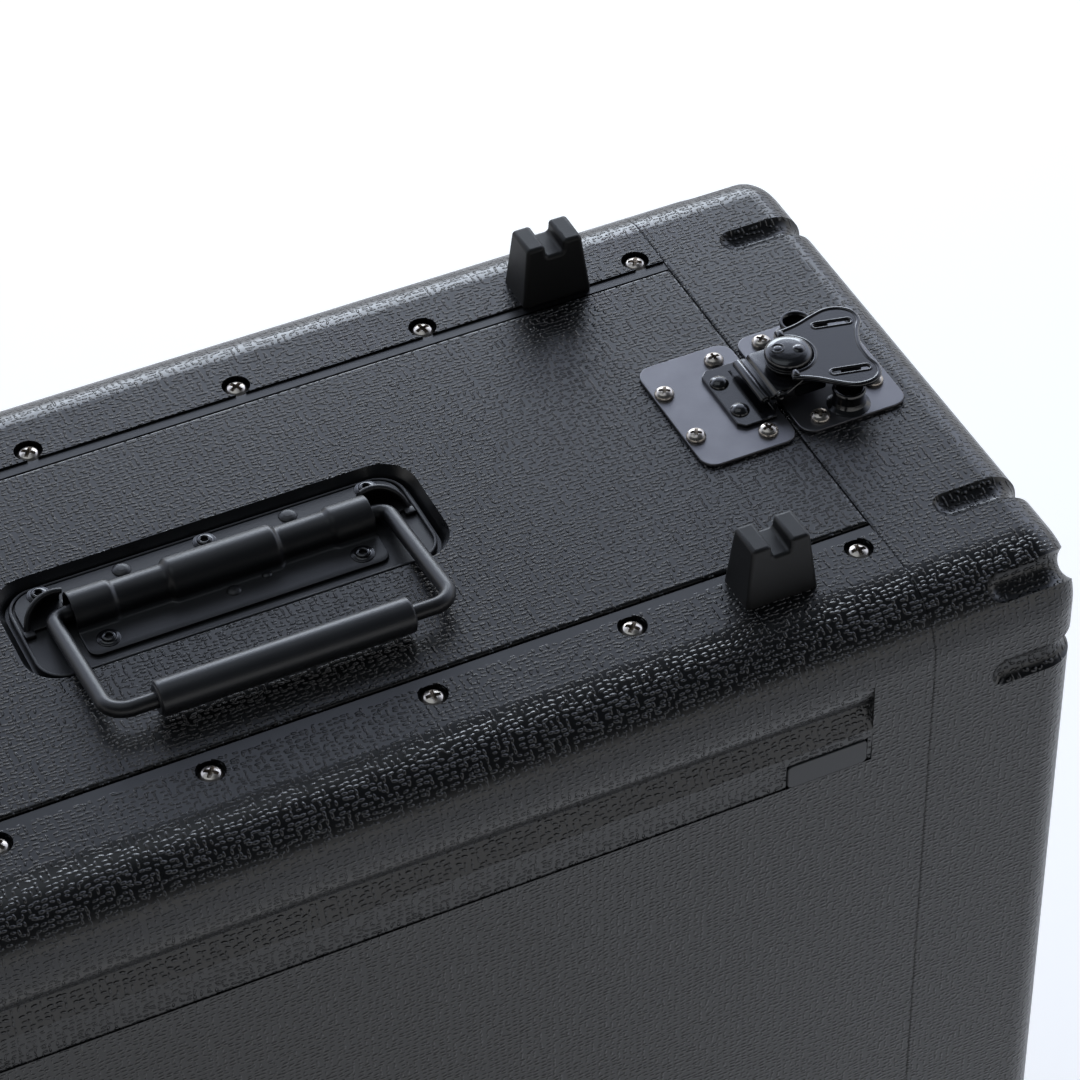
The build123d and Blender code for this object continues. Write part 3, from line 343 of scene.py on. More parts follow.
def plain_finish(name, colour, roughness, spread=0.08, metallic=0.0, bump=0.02, size=0.6, specular=0.5,
                 coat=0.0):
    """A plain finish with small variations of tone, gloss and surface."""
    material, tree, shader = new_material(name)
    whole, _, _, _ = object_point(tree)
    broad = noise(tree, whole, 14.0, 4.0, 0.6)
    fine = noise(tree, whole, size, 3.0, 0.6)
    low = tone(*[part * 0.82 for part in colour])
    high = tone(*[min(part * 1.2, 1.0) for part in colour])
    tree.links.new(mix_colour(tree, broad, low, high), shader.inputs["Base Color"])
    rough = calc(tree, "MULTIPLY_ADD", broad, spread, roughness - spread / 2)
    tree.links.new(rough, shader.inputs["Roughness"])
    height = calc(tree, "MULTIPLY_ADD", broad, 0.4, fine)
    relief = add(tree, "Bump", {"Strength": 1.0, "Distance": bump * MM, "Height": height})
    tree.links.new(relief.outputs[0], shader.inputs["Normal"])
    shader.inputs["Metallic"].default_value = metallic
    shader.inputs["Specular IOR Level"].default_value = specular
    shader.inputs["Coat Weight"].default_value = coat
    return material


def plywood():
    """Sealed plywood with its grain along the board."""
    material, tree, shader = new_material("plywood")
    whole, _, _, _ = object_point(tree)
    long_way = add(tree, "VectorMath", {0: whole, 1: (0.03, 0.6, 0.9)}, operation="MULTIPLY").outputs[0]
    fibre = noise(tree, long_way, 1.0, 5.0, 0.65)
    tree.links.new(mix_colour(tree, fibre, tone(0.2, 0.12, 0.06), tone(0.46, 0.33, 0.2)),
                   shader.inputs["Base Color"])
    relief = add(tree, "Bump", {"Strength": 1.0, "Distance": 0.08 * MM, "Height": fibre})
    tree.links.new(relief.outputs[0], shader.inputs["Normal"])
    shader.inputs["Roughness"].default_value = 0.6
    return material


MATERIALS = {
    "shell_abs": grained_plastic("shell_plastic", 0.55, flange_smooth),
    "lid_abs": grained_plastic("lid_plastic", 0.6),
    "panel_abs": grained_plastic("panel_plastic", 0.7, panel_smooth, pitch=(2.5, 1.75)),
    "board": plywood(),
    "rim_metal": plain_finish("mill_aluminium", (0.55, 0.55, 0.56), 0.35, metallic=1.0),
    "rail_steel": plain_finish("powder_coat", (0.02, 0.02, 0.021), 0.5, bump=0.05, size=0.9),
    "nickel_screw": plain_finish("dull_nickel", (0.46, 0.42, 0.375), 0.28, metallic=1.0, bump=0.01),
    "rubber": plain_finish("black_rubber", (0.007, 0.007, 0.007), 0.5, spread=0.16, bump=0.03,
                           specular=0.35),
    "pad": plain_finish("smooth_pad", (0.045, 0.045, 0.047), 0.36),
    "black_steel": plain_finish("black_plated_steel", (0.006, 0.006, 0.0075), 0.17, specular=0.6, coat=0.2),
    "satin_steel": plain_finish("black_satin_steel", (0.008, 0.008, 0.009), 0.4, specular=0.5, bump=0.03),
    "plate_steel": plain_finish("black_plated_sheet", (0.15, 0.148, 0.158), 0.33, metallic=0.9),
    "grip_plastic": plain_finish("grip_plastic", (0.022, 0.0225, 0.0245), 0.38, bump=0.04),
    "spring_steel": plain_finish("oiled_spring_steel", (0.3, 0.3, 0.3), 0.35, metallic=1.0),
}


def dress_cad_nodes():
    """Gives every carried-over node its finish."""
    for name, node in NODES.items():
        slot = SLOTS[name]
        if name.endswith("_lid"):
            slot = "lid_abs"
        if name.endswith("_plate"):
            slot = "plate_steel"
        node.data.materials.clear()
        node.data.materials.append(MATERIALS[slot])


# Modelling helpers, which work in millimetres

def start(piece, name):
    """Names a piece and makes it the only one selected."""
    bpy.ops.object.select_all(action="DESELECT")
    bpy.context.view_layer.objects.active = piece
    piece.select_set(True)
    piece.name = name
    return piece


def new_piece(name, data):
    """Links a new mesh or curve as a piece."""
    piece = bpy.data.objects.new(name, data)
    bpy.context.scene.collection.objects.link(piece)
    return start(piece, name)


def shaped(piece, kind, **settings):
    """Adds a modifier with its settings and applies it."""
    start(piece, piece.name)
    made = piece.modifiers.new(kind.lower(), kind)
    for key, value in settings.items():
        setattr(made, key, value)
    bpy.ops.object.modifier_apply(modifier=made.name)
    return piece


def closed_up(piece):
    """Merges doubled points, turns the faces outwards and smooths all but the sharp edges."""
    start(piece, piece.name)
    bpy.ops.object.transform_apply(location=True, rotation=True, scale=True)
    bpy.ops.object.mode_set(mode="EDIT")
    bpy.ops.mesh.select_all(action="SELECT")
    bpy.ops.mesh.remove_doubles(threshold=0.0008)
    bpy.ops.mesh.normals_make_consistent(inside=False)
    bpy.ops.object.mode_set(mode="OBJECT")
    bpy.ops.object.shade_smooth_by_angle(angle=math.radians(34))
    return piece


def flat_caps(piece, axis=2):
    """Shades a plate's wide caps flat beside their rounded edges."""
    for face in piece.data.polygons:
        if abs(face.normal[axis]) > 0.9995:
            face.use_smooth = False
    return piece


def filleted(points, radii, closed=True, steps=7):
    """The points of a line whose corners are rounded by arcs."""
    made = []
    if not hasattr(radii, "__len__"):
        radii = [radii] * len(points)
    for index, (place, radius) in enumerate(zip(points, radii)):
        corner = Vector(place).to_3d()
        if radius == 0 or (not closed and index in (0, len(points) - 1)):
            made.append(corner)
            continue
        before = (Vector(points[index - 1]).to_3d() - corner).normalized()
        after = (Vector(points[(index + 1) % len(points)]).to_3d() - corner).normalized()
        half = before.angle(after) / 2
        centre = corner + (before + after).normalized() * (radius / math.sin(half))
        first = (corner + before * (radius / math.tan(half)) - centre).normalized()
        last = (corner + after * (radius / math.tan(half)) - centre).normalized()
        made += [centre + first.slerp(last, step / steps) * radius for step in range(steps + 1)]
    return made


def oblong(x0, x1, y0, y1, corner):
    """The outline of a rectangle with rounded corners."""
    return filleted([(x0, y0), (x1, y0), (x1, y1), (x0, y1)], corner)


def curve_of(name, lines, closed, flat):
    """A curve through lists of points."""
    data = bpy.data.curves.new(name, "CURVE")
    data.dimensions = "2D" if flat else "3D"
    for line in lines:
        spline = data.splines.new("POLY")
        spline.points.add(len(line) - 1)
        for point, place in zip(spline.points, line):
            point.co = (*place, 1.0)
        spline.use_cyclic_u = closed
    return new_piece(name, data)


def stamped(name, lines, low, high, edge=0.2):
    """A plate between two heights, cut to an outline and holes, with rounded edges."""
    piece = curve_of(name, lines, True, True)
    piece.data.fill_mode = "BOTH"
    piece.data.extrude = (high - low) / 2 - edge
    piece.data.bevel_depth = edge
    piece.data.bevel_resolution = 2
    piece.data.offset = -edge
    piece.location.z = (low + high) / 2
    bpy.ops.object.convert(target="MESH")
    return flat_caps(closed_up(bpy.context.object))


def folded(name, outline, half_width, edge=0.2):
    """A piece with one outline along X and Z, drawn out to both sides along Y."""
    piece = stamped(name, [outline], -half_width, half_width, edge)
    piece.rotation_euler.x = math.pi / 2
    return flat_caps(closed_up(piece), 1)


def ribbon(points, bends, thickness):
    """The outline of a bent sheet, seen from its edge."""
    line = filleted(points, bends, closed=False)
    left, right = [], []
    for index, point in enumerate(line):
        way = line[min(index + 1, len(line) - 1)] - line[max(index - 1, 0)]
        side = Vector((-way.y, way.x, 0)).normalized() * (thickness / 2)
        left.append(point + side)
        right.append(point - side)
    return left + right[::-1]


def wire(name, line, radius, closed=False, sides=6):
    """A round bar along a line of points."""
    piece = curve_of(name, [line], closed, False)
    piece.data.bevel_depth = radius
    piece.data.bevel_resolution = sides
    piece.data.use_fill_caps = not closed
    bpy.ops.object.convert(target="MESH")
    return closed_up(bpy.context.object)


def turned(name, profile, rounding=0.3, steps=48, shut=False):
    """A turned piece from its half profile of radius and height, with rounded corners."""
    data = bpy.data.meshes.new(name)
    count = len(profile)
    edges = [(index, (index + 1) % count) for index in range(count if shut else count - 1)]
    data.from_pydata([(radius, 0, height) for radius, height in profile], edges, [])
    piece = new_piece(name, data)
    if rounding:
        shaped(piece, "BEVEL", affect="VERTICES", width=rounding, segments=3)
    shaped(piece, "SCREW", steps=steps, render_steps=steps, use_merge_vertices=True)
    return closed_up(piece)


def block(name, low, high, edge=0.2):
    """A bar between two corners with bevelled edges."""
    middle = [(a + b) / 2 for a, b in zip(low, high)]
    bpy.ops.object.select_all(action="DESELECT")
    bpy.ops.mesh.primitive_cube_add(size=1, location=middle)
    piece = start(bpy.context.object, name)
    piece.scale = [b - a for a, b in zip(low, high)]
    bpy.ops.object.transform_apply(location=True, rotation=True, scale=True)
    if edge:
        shaped(piece, "BEVEL", width=edge, segments=3)
    return closed_up(piece)


def cut_by(piece, tool):
    """Takes one piece's space out of another."""
    shaped(piece, "BOOLEAN", operation="DIFFERENCE", object=tool, solver="EXACT")
    bpy.data.objects.remove(tool)
    return closed_up(piece)


def moved(piece, place=(0, 0, 0), turn=(0, 0, 0)):
    """Turns and moves a piece, with its place kept in its mesh."""
    piece.location = place
    piece.rotation_euler = turn
    start(piece, piece.name)
    bpy.ops.object.transform_apply(location=True, rotation=True, scale=True)
    return piece


def joined(name, *parts):
    """Several pieces made one."""
    start(parts[0], name)
    for part in parts:
        part.select_set(True)
    bpy.ops.object.join()
    return start(parts[0], name)


def copy_of(piece):
    """A copy of a piece with its own mesh."""
    made = piece.copy()
    made.data = piece.data.copy()
    bpy.context.scene.collection.objects.link(made)
    return made


# Placing

def mirrored(end=1, side=1, face=1):
    """The mirror that puts a front upper near piece at another end, side or face."""
    up = Matrix.Translation((0, 0, MID))
    return up @ Matrix.Diagonal((end, side, face, 1)) @ up.inverted()


def at(x, y, z, turn=0.0, flip=1):
    """The place of a piece drawn in millimetres, measured from the case's upper face."""
    place = Matrix.Translation((x * MM, y * MM, FACE + z * MM))
    return place @ Matrix.Rotation(turn, 4, "Z") @ Matrix.Diagonal((MM, MM, MM * flip, 1))


def put(piece, name, body, node, matrix, finish=None):
    """A copy of a piece at its place, on its body, standing for its node."""
    made = copy_of(piece)
    made.name = name
    made.data.transform(matrix)
    if matrix.determinant() < 0:
        made.data.flip_normals()
    made.data.materials.clear()
    made.data.materials.append(MATERIALS[finish or SLOTS[node]])
    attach(made, body)
    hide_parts(node)


def put_four(piece, part, body_part, finish=None, mark="form"):
    """A latch piece at its four places."""
    for place, (end, face) in PLACES.items():
        body = body_part if body_part == "case" else place + "_" + body_part
        if body_part == "lid":
            body = place.split("_")[0] + "_lid"
        matrix = mirrored(end, 1, face) @ at(END, 0, 0)
        put(piece, "_".join((place, part, mark)), body, place + "_" + part, matrix, finish)
    bpy.data.objects.remove(piece)


def put_both(piece, part, body_part=None, finish="satin_steel"):
    """A handle piece on both handle faces."""
    for name, face in FACES.items():
        body = name + "_" + body_part if body_part else "case"
        matrix = mirrored(1, 1, face) @ at(0, 0, 0)
        put(piece, name + "_" + part + "_form", body, name + "_" + part, matrix, finish)
    bpy.data.objects.remove(piece)


# Screws and rivets

def pan_screw(head, height, length, shank=2.0):
    """A pan-head screw with a cross recess, its head's seat at zero height."""
    profile = [(0, height), (head * 0.42, height * 0.97), (head * 0.74, height * 0.8),
               (head * 0.94, height * 0.48), (head, height * 0.2), (head * 0.97, 0), (shank, 0),
               (shank, -length + 1.6), (0.3, -length), (0, -length)]
    piece = turned("screw", profile, rounding=0.12, steps=32)
    arm, reach, depth = head * 0.2, head * 0.7, height * 0.72
    for turn in (0, math.pi / 2):
        tool = block("cross", (-reach, -arm, height - depth), (reach, arm, height + 1), edge=0)
        start(tool, "cross")
        bpy.ops.object.mode_set(mode="EDIT")
        bpy.ops.mesh.select_mode(type="FACE")
        form = bmesh.from_edit_mesh(tool.data)
        for face in form.faces:
            face.select_set(face.normal.z < -0.5)
        bmesh.update_edit_mesh(tool.data)
        bpy.ops.transform.resize(value=(0.62, 0.55, 1))
        bpy.ops.object.mode_set(mode="OBJECT")
        cut_by(piece, moved(tool, turn=(0, 0, turn)))
    start(piece, "screw")
    return piece


def dome(radius, height, steps=28):
    """A low rivet head."""
    profile = [(0, height), (radius * 0.38, height * 0.95), (radius * 0.7, height * 0.72),
               (radius * 0.92, height * 0.36), (radius, 0), (0, 0)]
    return turned("dome", profile, rounding=0.1, steps=steps)


def scatter_screws(piece, node, body, places, chance):
    """Screws of one node, each turned its own way."""
    for index, (mirror, x, y, z, flip) in enumerate(places):
        turn = chance.uniform(0, math.pi / 2)
        matrix = mirror @ at(x, y, z, turn, flip)
        put(piece, "%s_%d" % (node, index + 1), body, node, matrix)


def make_screws():
    """All the screws, and the domed rivets of the keepers."""
    chance = random.Random(7)
    flange = pan_screw(*FLANGE_HEAD, FLANGE_SCREW_LENGTH)
    ways = [mirrored(end, side, face) for end in (1, -1) for side in (1, -1) for face in (1, -1)]
    places = [(way, x, SCREW_ROW, -RECESS_DEPTH, 1) for way in ways for x in SCREW_PLACES]
    scatter_screws(flange, "shell_screws", "case", places, chance)
    rail = pan_screw(*RAIL_HEAD, RAIL_SCREW_LENGTH)
    ends = [mirrored(end, 1, face) for end in (1, -1) for face in (1, -1)]
    places = [(way, RAIL_SCREW_X, y, RAIL_SCREW_SEAT, -1) for way in ends for y in RAIL_SCREW_ROW]
    scatter_screws(rail, "rail_screws", "case", places, chance)
    plate_screw = pan_screw(*PLATE_HEAD, LATCH_SCREW_LENGTH)
    for end, body in ((1, "front_lid"), (-1, "rear_lid")):
        places = [(mirrored(end, side, face), END + x, y, PLATE, 1)
                  for side in (1, -1) for face in (1, -1) for x, y in LATCH_SCREWS]
        scatter_screws(plate_screw, body.replace("lid", "latch_screws"), body, places, chance)
    keeper = pan_screw(*PLATE_HEAD, KEEPER_SCREW_LENGTH)
    places = [(way, END - x, y, PLATE, 1) for way in ways for x, y in KEEPER_SCREWS]
    scatter_screws(keeper, "keeper_fasteners", "case", places, chance)
    rivet = dome(*STRIKE_DOME)
    for index, way in enumerate(ways):
        matrix = way @ at(END - STRIKE_RIVETS[0], STRIKE_RIVETS[1], 2 * PLATE)
        put(rivet, "strike_rivet_%d" % (index + 1), "case", "keeper_fasteners", matrix, "black_steel")
    for piece in (flange, rail, plate_screw, keeper, rivet):
        bpy.data.objects.remove(piece)


# Latches, drawn from the seam and the upper face

def make_keepers():
    """Keeper plates and strike brackets on the body."""
    outline = oblong(-KEEPER_FAR, -KEEPER_NEAR, -KEEPER_HALF, KEEPER_HALF, PLATE_CORNER)
    put_four(stamped("keeper", [outline], 0, PLATE, 0.35), "keeper_plate", "case", "plate_steel")
    corners = [(-19.2, -14.5), (-16.6, -17), (-4.0, -17), (-3.2, -13.5), (-3.2, 13.5), (-4.0, 17),
               (-16.6, 17), (-19.2, 14.5)]
    base = stamped("strike", [filleted(corners, 0.8)], PLATE, 2 * PLATE, 0.3)
    lip = folded("lip", ribbon([(-9, 2.25), (-2.95, 2.25), (-3.1, 6.5)], 1.3, PLATE), 13.5, 0.35)
    put_four(joined("strike", base, lip), "strike", "case")


def eyelet():
    """One flared collar of the latch plate, with a rolled rim."""
    profile = [(8.3, PLATE - 0.1), (7.7, 1.9), (6.6, 3.0), (6.0, 4.6), (5.9, 7.7), (6.35, 8.5), (6.0, 9.4),
               (5.1, 9.4), (4.6, 8.5), (4.4, 7.5), (4.3, PLATE), (4.3, PLATE - 0.1)]
    return turned("eyelet", profile, rounding=0.35, shut=True)


def make_latch_plates():
    """Latch plates on the lids, with the knob's boss, two collars and two tabs."""
    outline = oblong(LATCH_NEAR, LATCH_FAR, -LATCH_HALF, LATCH_HALF, PLATE_CORNER)
    parts = [stamped("latch_plate", [outline], 0, PLATE, 0.35)]
    boss = turned("boss", [(0, 5.8), (9.0, 5.8), (9.3, PLATE - 0.1), (0, PLATE - 0.1)], 0.6)
    parts.append(moved(boss, (KNOB_PLACE, 0, 0)))
    post = turned("post", [(0, 14.4), (2.9, 14.4), (2.9, 5), (0, 5)], 0.2, 24)
    parts.append(moved(post, (KNOB_PLACE, 0, 0)))
    put_four(joined("latch_plate", *parts), "latch_plate", "lid", "plate_steel")
    stands = []
    for side in (1, -1):
        stands.append(moved(eyelet(), (EYELET_PLACE[0], side * EYELET_PLACE[1], 0)))
        outline = filleted([(24.5, 1.4), (32.5, 1.4), (32.5, 12.4), (24.5, 12.4)], (0, 0, 2.2, 0.8))
        stands.append(moved(folded("tab", outline, 0.7, 0.25), (0, side * TAB_ROW, 0)))
    put_four(joined("stands", *stands), "latch_plate", "lid", "black_steel", "stands")


def make_knobs():
    """Domed knobs with a waist, a collar, a raised ring and a round bump."""
    profile = [(0, 17.5), (3.2, 17.42), (5.8, 17.2), (7.6, 16.75), (8.6, 16.1), (9.0, 15.2), (9.0, 14.2),
               (8.6, 13.8), (7.8, 13.6), (7.75, 12.6), (8.6, 12.4), (8.6, 11.7), (6.5, 11.5), (6.5, 6.2),
               (3.05, 6.2), (3.05, 14.5), (0, 14.5)]
    body = turned("knob", profile, 0.28, 64)
    bpy.ops.object.select_all(action="DESELECT")
    bpy.ops.mesh.primitive_torus_add(major_radius=2.35, minor_radius=0.42, major_segments=40,
                                     minor_segments=10, location=(-MARK_PLACE, 0, 17.28),
                                     rotation=(0, -MARK_TILT, 0))
    ring = closed_up(start(bpy.context.object, "ring"))
    inner = moved(dome(1.7, 0.25), (-MARK_PLACE, 0, 17.25), (0, -MARK_TILT, 0))
    bump = moved(dome(2.5, 0.85), (MARK_PLACE, 0, 17.15), (0, MARK_TILT, 0))
    knob = moved(joined("knob", body, ring, inner, bump), turn=(0, 0, math.radians(KNOB_TURN)))
    put_four(moved(knob, (KNOB_PLACE, 0, 0)), "knob", "knob")


def wing_outline():
    """The wing's outline: two rounded ears, a hollow end, and arms that hold the knob."""
    half = [(27.0, 0.0), (28.3, 8.2), (30.4, 13.4), (29.4, 18.4), (25.4, 21.3), (19.6, 21.6), (13.4, 18.8),
            (7.6, 15.6), (2.6, 13.7), (-WING_ARM_END, 12.9)]
    nodes = [Vector((x, -y, 0)) for x, y in half[:0:-1]] + [Vector((x, y, 0)) for x, y in half]
    line = []
    for index in range(len(nodes) - 1):
        before, first = nodes[max(index - 1, 0)], nodes[index]
        last, after = nodes[index + 1], nodes[min(index + 2, len(nodes) - 1)]
        for step in range(5):
            share = step / 5
            leaving, arriving = (last - before) * 0.5, (after - first) * 0.5
            line.append(first * (2 * share ** 3 - 3 * share ** 2 + 1)
                        + leaving * (share ** 3 - 2 * share ** 2 + share)
                        + last * (3 * share ** 2 - 2 * share ** 3)
                        + arriving * (share ** 3 - share ** 2))
    line.append(nodes[-1])
    sweep = math.pi - math.acos(WING_ARM_END / WING_CUT_RADIUS)
    turns = [sweep - 2 * sweep * step / 36 for step in range(37)]
    return line + [Vector((WING_CUT_RADIUS * math.cos(turn), WING_CUT_RADIUS * math.sin(turn), 0))
                   for turn in turns]


def make_wings():
    """Wings of sheet with a raised rim round the outline and the two slots."""
    line = wing_outline()
    slots = [oblong(*WING_SLOT, row - WING_SLOT_HALF, row + WING_SLOT_HALF, 1.65)
             for row in (WING_SLOT_ROW, -WING_SLOT_ROW)]
    parts = [stamped("wing", [line] + slots, WING_LOW, WING_HIGH - 0.35, 0.2)]
    rim = [Vector((point.x, point.y, WING_AXIS)) for point in line]
    parts.append(wire("rim", rim, WING_RIM, True, 5))
    for slot in slots:
        rim = [Vector((point.x, point.y, WING_AXIS + 0.1)) for point in slot]
        parts.append(wire("slot_rim", rim, SLOT_RIM, True, 4))
    for side in (1, -1):
        knuckle = turned("knuckle", [(0, 0), (1.7, 0), (1.7, 2.9), (0, 2.9)], 0.4, 24)
        knuckle = moved(knuckle, turn=(math.pi / 2, 0, 0))
        parts.append(moved(knuckle, (0, 12.8 if side > 0 else -9.9, WING_AXIS)))
        pin = turned("pin", [(0, 0), (0.9, 0), (0.9, 6.0), (0, 6.0)], 0.1, 16)
        pin = moved(pin, turn=(math.pi / 2, 0, 0))
        parts.append(moved(pin, (0, 12.4 if side > 0 else -6.4, WING_AXIS)))
    wing = moved(joined("wing", *parts), turn=(0, 0, math.radians(WING_TURN)))
    put_four(moved(wing, (KNOB_PLACE, 0, 0)), "wing", "wing")


def make_hooks():
    """Hooks that fold down behind the seam into a rolled claw, with a small spring at the side."""
    roll = Vector(ROLL_PLACE).to_3d()
    curl = [roll + Vector((math.cos(turn), math.sin(turn), 0)) * ROLL_RADIUS
            for turn in (math.radians(20 + 285 * step / 22) for step in range(23))]
    above = filleted([(19, HOOK_TOP), (-1.5, HOOK_TOP), (-2.5, 7.75), (-4.2, 7.7)], (0, 0.7, 0.8, 0),
                     closed=False)
    below = filleted([(-4.5, 6.95), (-1.4, 6.95), (-0.5, 7.9), (19, 7.9)], (0, 0.5, 0.8, 0), closed=False)
    plate = folded("hook", above + curl + below, HOOK_HALF, 0.2)
    slot = filleted([(2.1, -6.9), (24, -6.9), (24, 6.9), (2.1, 6.9)], (6.8, 0, 0, 6.8), steps=14)
    cut_by(plate, stamped("slot", [slot], 7, 11, 0.05))
    parts = [plate]
    for side in (1, -1):
        outline = filleted([(6.3, 3.6), (19, 3.6), (19, 9.2), (6.3, 9.2)], (1.5, 1.0, 0.3, 0.3))
        parts.append(moved(folded("skirt", outline, 0.4, 0.2), (0, side * 11.3, 0)))
        core = turned("core", [(0, 0), (1.15, 0), (1.15, 1.0), (0, 1.0)], 0.2, 20)
        core = moved(core, turn=(math.pi / 2, 0, 0))
        parts.append(moved(core, (roll.x, 12.3 if side > 0 else -11.3, roll.y)))
    coil = [Vector((-0.6 + 1.15 * math.cos(turn), -11.9 - 1.9 * turn / (2.25 * math.tau),
                    8.2 + 1.15 * math.sin(turn)))
            for turn in (math.tau * 2.25 * step / 40 for step in range(41))]
    leg = filleted([coil[-1], (1.6, -13.8, 9.4), (9.6, -11.0, 10.6)], 1.2, closed=False)
    parts.append(wire("spring", coil[:-1] + leg, 0.5, sides=3))
    put_four(joined("hook", *parts), "hook", "hook")


# Handles, drawn from the middle of the upper face

def make_handle_bases():
    """Base plates with an upturned, rounded edge."""
    half_x, half_y = HANDLE_HALF
    low = POCKET_FLOOR
    outline = oblong(-half_x, half_x, -half_y, half_y, HANDLE_CORNER)
    inside = oblong(-half_x + 1.3, half_x - 1.3, -half_y + 1.3, half_y - 1.3, 9.7)
    sheet = stamped("base", [outline], low, low + HANDLE_SHEET, 0.3)
    lip = stamped("lip", [outline, inside], low + 0.3, low + 2.6, 0.5)
    put_both(joined("base", sheet, lip), "handle_base")


def barrel_radius(x):
    """The stepped barrel's radius at a place along it."""
    x = abs(x)
    for start_x, before, after in BARREL_STEPS:
        if x < start_x:
            return before
        if x < start_x + BARREL_RAMP:
            share = (x - start_x) / BARREL_RAMP
            return before + (after - before) * share * share * (3 - 2 * share)
    return BARREL_STEPS[-1][2]


def cover_section(x):
    """The cover's top surface across the handle, from its near edge to behind the barrel."""
    radius = barrel_radius(x)
    top, axis, middle, bend = COVER_TOP, BARREL_AXIS, BARREL_PLACE, 1.8
    over = max(abs(x) - (COVER_HALF - COVER_CORNER), 0.0)
    edge = COVER_NEAR_EDGE + COVER_CORNER - math.sqrt(COVER_CORNER ** 2 - min(over, COVER_CORNER) ** 2)
    foot = middle - radius - bend
    line = [(edge + (foot - edge) * step / 5, top) for step in range(6)]
    line += [(foot + bend * math.sin(turn), top + bend - bend * math.cos(turn))
             for turn in (math.pi / 2 * step / 5 for step in range(1, 6))]
    line += [(middle - radius * math.cos(turn), axis + radius * math.sin(turn))
             for turn in (math.pi * step / 24 for step in range(25))]
    line += [(middle + radius + bend - bend * math.cos(turn), top + bend - bend * math.sin(turn))
             for turn in (math.pi / 2 * step / 5 for step in range(6))]
    line += [(middle + radius + bend + 1.2, top), (middle + radius + bend + 2.0, top - 0.5)]
    return line


def cover_stations():
    """Where the cover's sections stand, closer together on the steps and at the ends."""
    half = [0.0, 6.0, 13.0, 18.5]
    for start_x, _, _ in BARREL_STEPS:
        half += [start_x + BARREL_RAMP * step / 5 for step in range(6)]
        half += [start_x + 3.5, start_x + 10.0]
    half += [53.0, 54.5, 55.6, 56.4, 56.85, COVER_HALF]
    return [-x for x in half[:0:-1]] + half


def cover_sheet():
    """The stamped sheet over the barrel, shaped from a flat grid."""
    stations = cover_stations()
    sections = [cover_section(x) for x in stations]
    columns, rows = len(stations) - 1, len(sections[0]) - 1
    bpy.ops.object.select_all(action="DESELECT")
    bpy.ops.mesh.primitive_grid_add(x_subdivisions=columns, y_subdivisions=rows, size=2)
    sheet = start(bpy.context.object, "cover")
    for point in sheet.data.vertices:
        column = round((point.co.x + 1) / 2 * columns)
        row = round((point.co.y + 1) / 2 * rows)
        y, z = sections[column][row]
        point.co = (stations[column], y, z)
    shaped(sheet, "SOLIDIFY", thickness=COVER_SHEET, offset=-1, use_even_offset=True)
    shaped(sheet, "BEVEL", width=0.3, segments=2, angle_limit=math.radians(60))
    return closed_up(sheet)


def hood():
    """The half cup at the barrel's right end, with a rolled edge and a squared tip."""
    centre = Vector((HOOD_PLACE, BARREL_PLACE, BASE_TOP))
    tilt = math.radians(HOOD_TILT)
    aside = Vector((0, math.cos(tilt), -math.sin(tilt)))
    upward = Vector((0, math.sin(tilt), math.cos(tilt)))
    bpy.ops.object.select_all(action="DESELECT")
    bpy.ops.mesh.primitive_uv_sphere_add(segments=64, ring_count=40, radius=HOOD_RADIUS, location=centre)
    cup = start(bpy.context.object, "cup")
    bpy.ops.object.transform_apply(location=True, rotation=True, scale=True)
    for place, way in ((centre, aside), ((HOOD_START, 0, 0), (1, 0, 0)), ((0, 0, BASE_TOP), (0, 0, 1))):
        bpy.ops.object.mode_set(mode="EDIT")
        bpy.ops.mesh.select_all(action="SELECT")
        bpy.ops.mesh.bisect(plane_co=place, plane_no=way, clear_inner=True)
        bpy.ops.object.mode_set(mode="OBJECT")
    shaped(cup, "SOLIDIFY", thickness=COVER_SHEET, offset=-1)
    closed_up(cup)
    line = [centre + (Vector((math.cos(turn), 0, 0)) + upward * math.sin(turn)) * 11.95
            for turn in (math.radians(109) * step / 24 for step in range(25))]
    line = [point for point in line if point.x > HOOD_START]
    edge = wire("edge", line, 1.05, sides=4)
    tip = block("tip", (70.6, 0.2, BASE_TOP), (74.6, 3.6, BASE_TOP + 1.6), 0.5)
    return joined("hood", cup, edge, tip)


def make_handle_covers():
    """Stamped covers with their stepped barrel, end hoods and pressed dimples."""
    tail = COVER_TAIL
    notch_x, notch_y = COVER_NOTCH
    plan = [(-tail, 3), (-notch_x, 3), (-notch_x, notch_y), (notch_x, notch_y), (notch_x, 3), (tail, 3),
            (tail, 22.3), (-tail, 22.3)]
    outline = filleted(plan, (3, 0, 0, 0, 0, 3, 8.6, 8.6))
    parts = [cover_sheet(), stamped("tail", [outline], BASE_TOP, COVER_TOP, 0.3)]
    right = hood()
    left = copy_of(right)
    left.data.transform(Matrix.Diagonal((-1, 1, 1, 1)))
    left.data.flip_normals()
    parts += [right, left]
    dimples = ((-32, 15.5, 3.6, 1.2), (32, 15.5, 3.6, 1.2), (0, -12, 2.8, 0.9), (13.5, -9.6, 2.0, 0.8))
    for x, y, radius, height in dimples:
        parts.append(moved(dome(radius, height), (x, BARREL_PLACE + y, COVER_TOP - 0.05)))
    put_both(joined("cover", *parts), "handle_cover")


def bail_point(x, reach):
    """A point of the bail at rest, by its distance from the barrel's axis."""
    lift = math.radians(BAIL_LIFT)
    return (x, BARREL_PLACE - reach * math.cos(lift), BARREL_AXIS + reach * math.sin(lift))


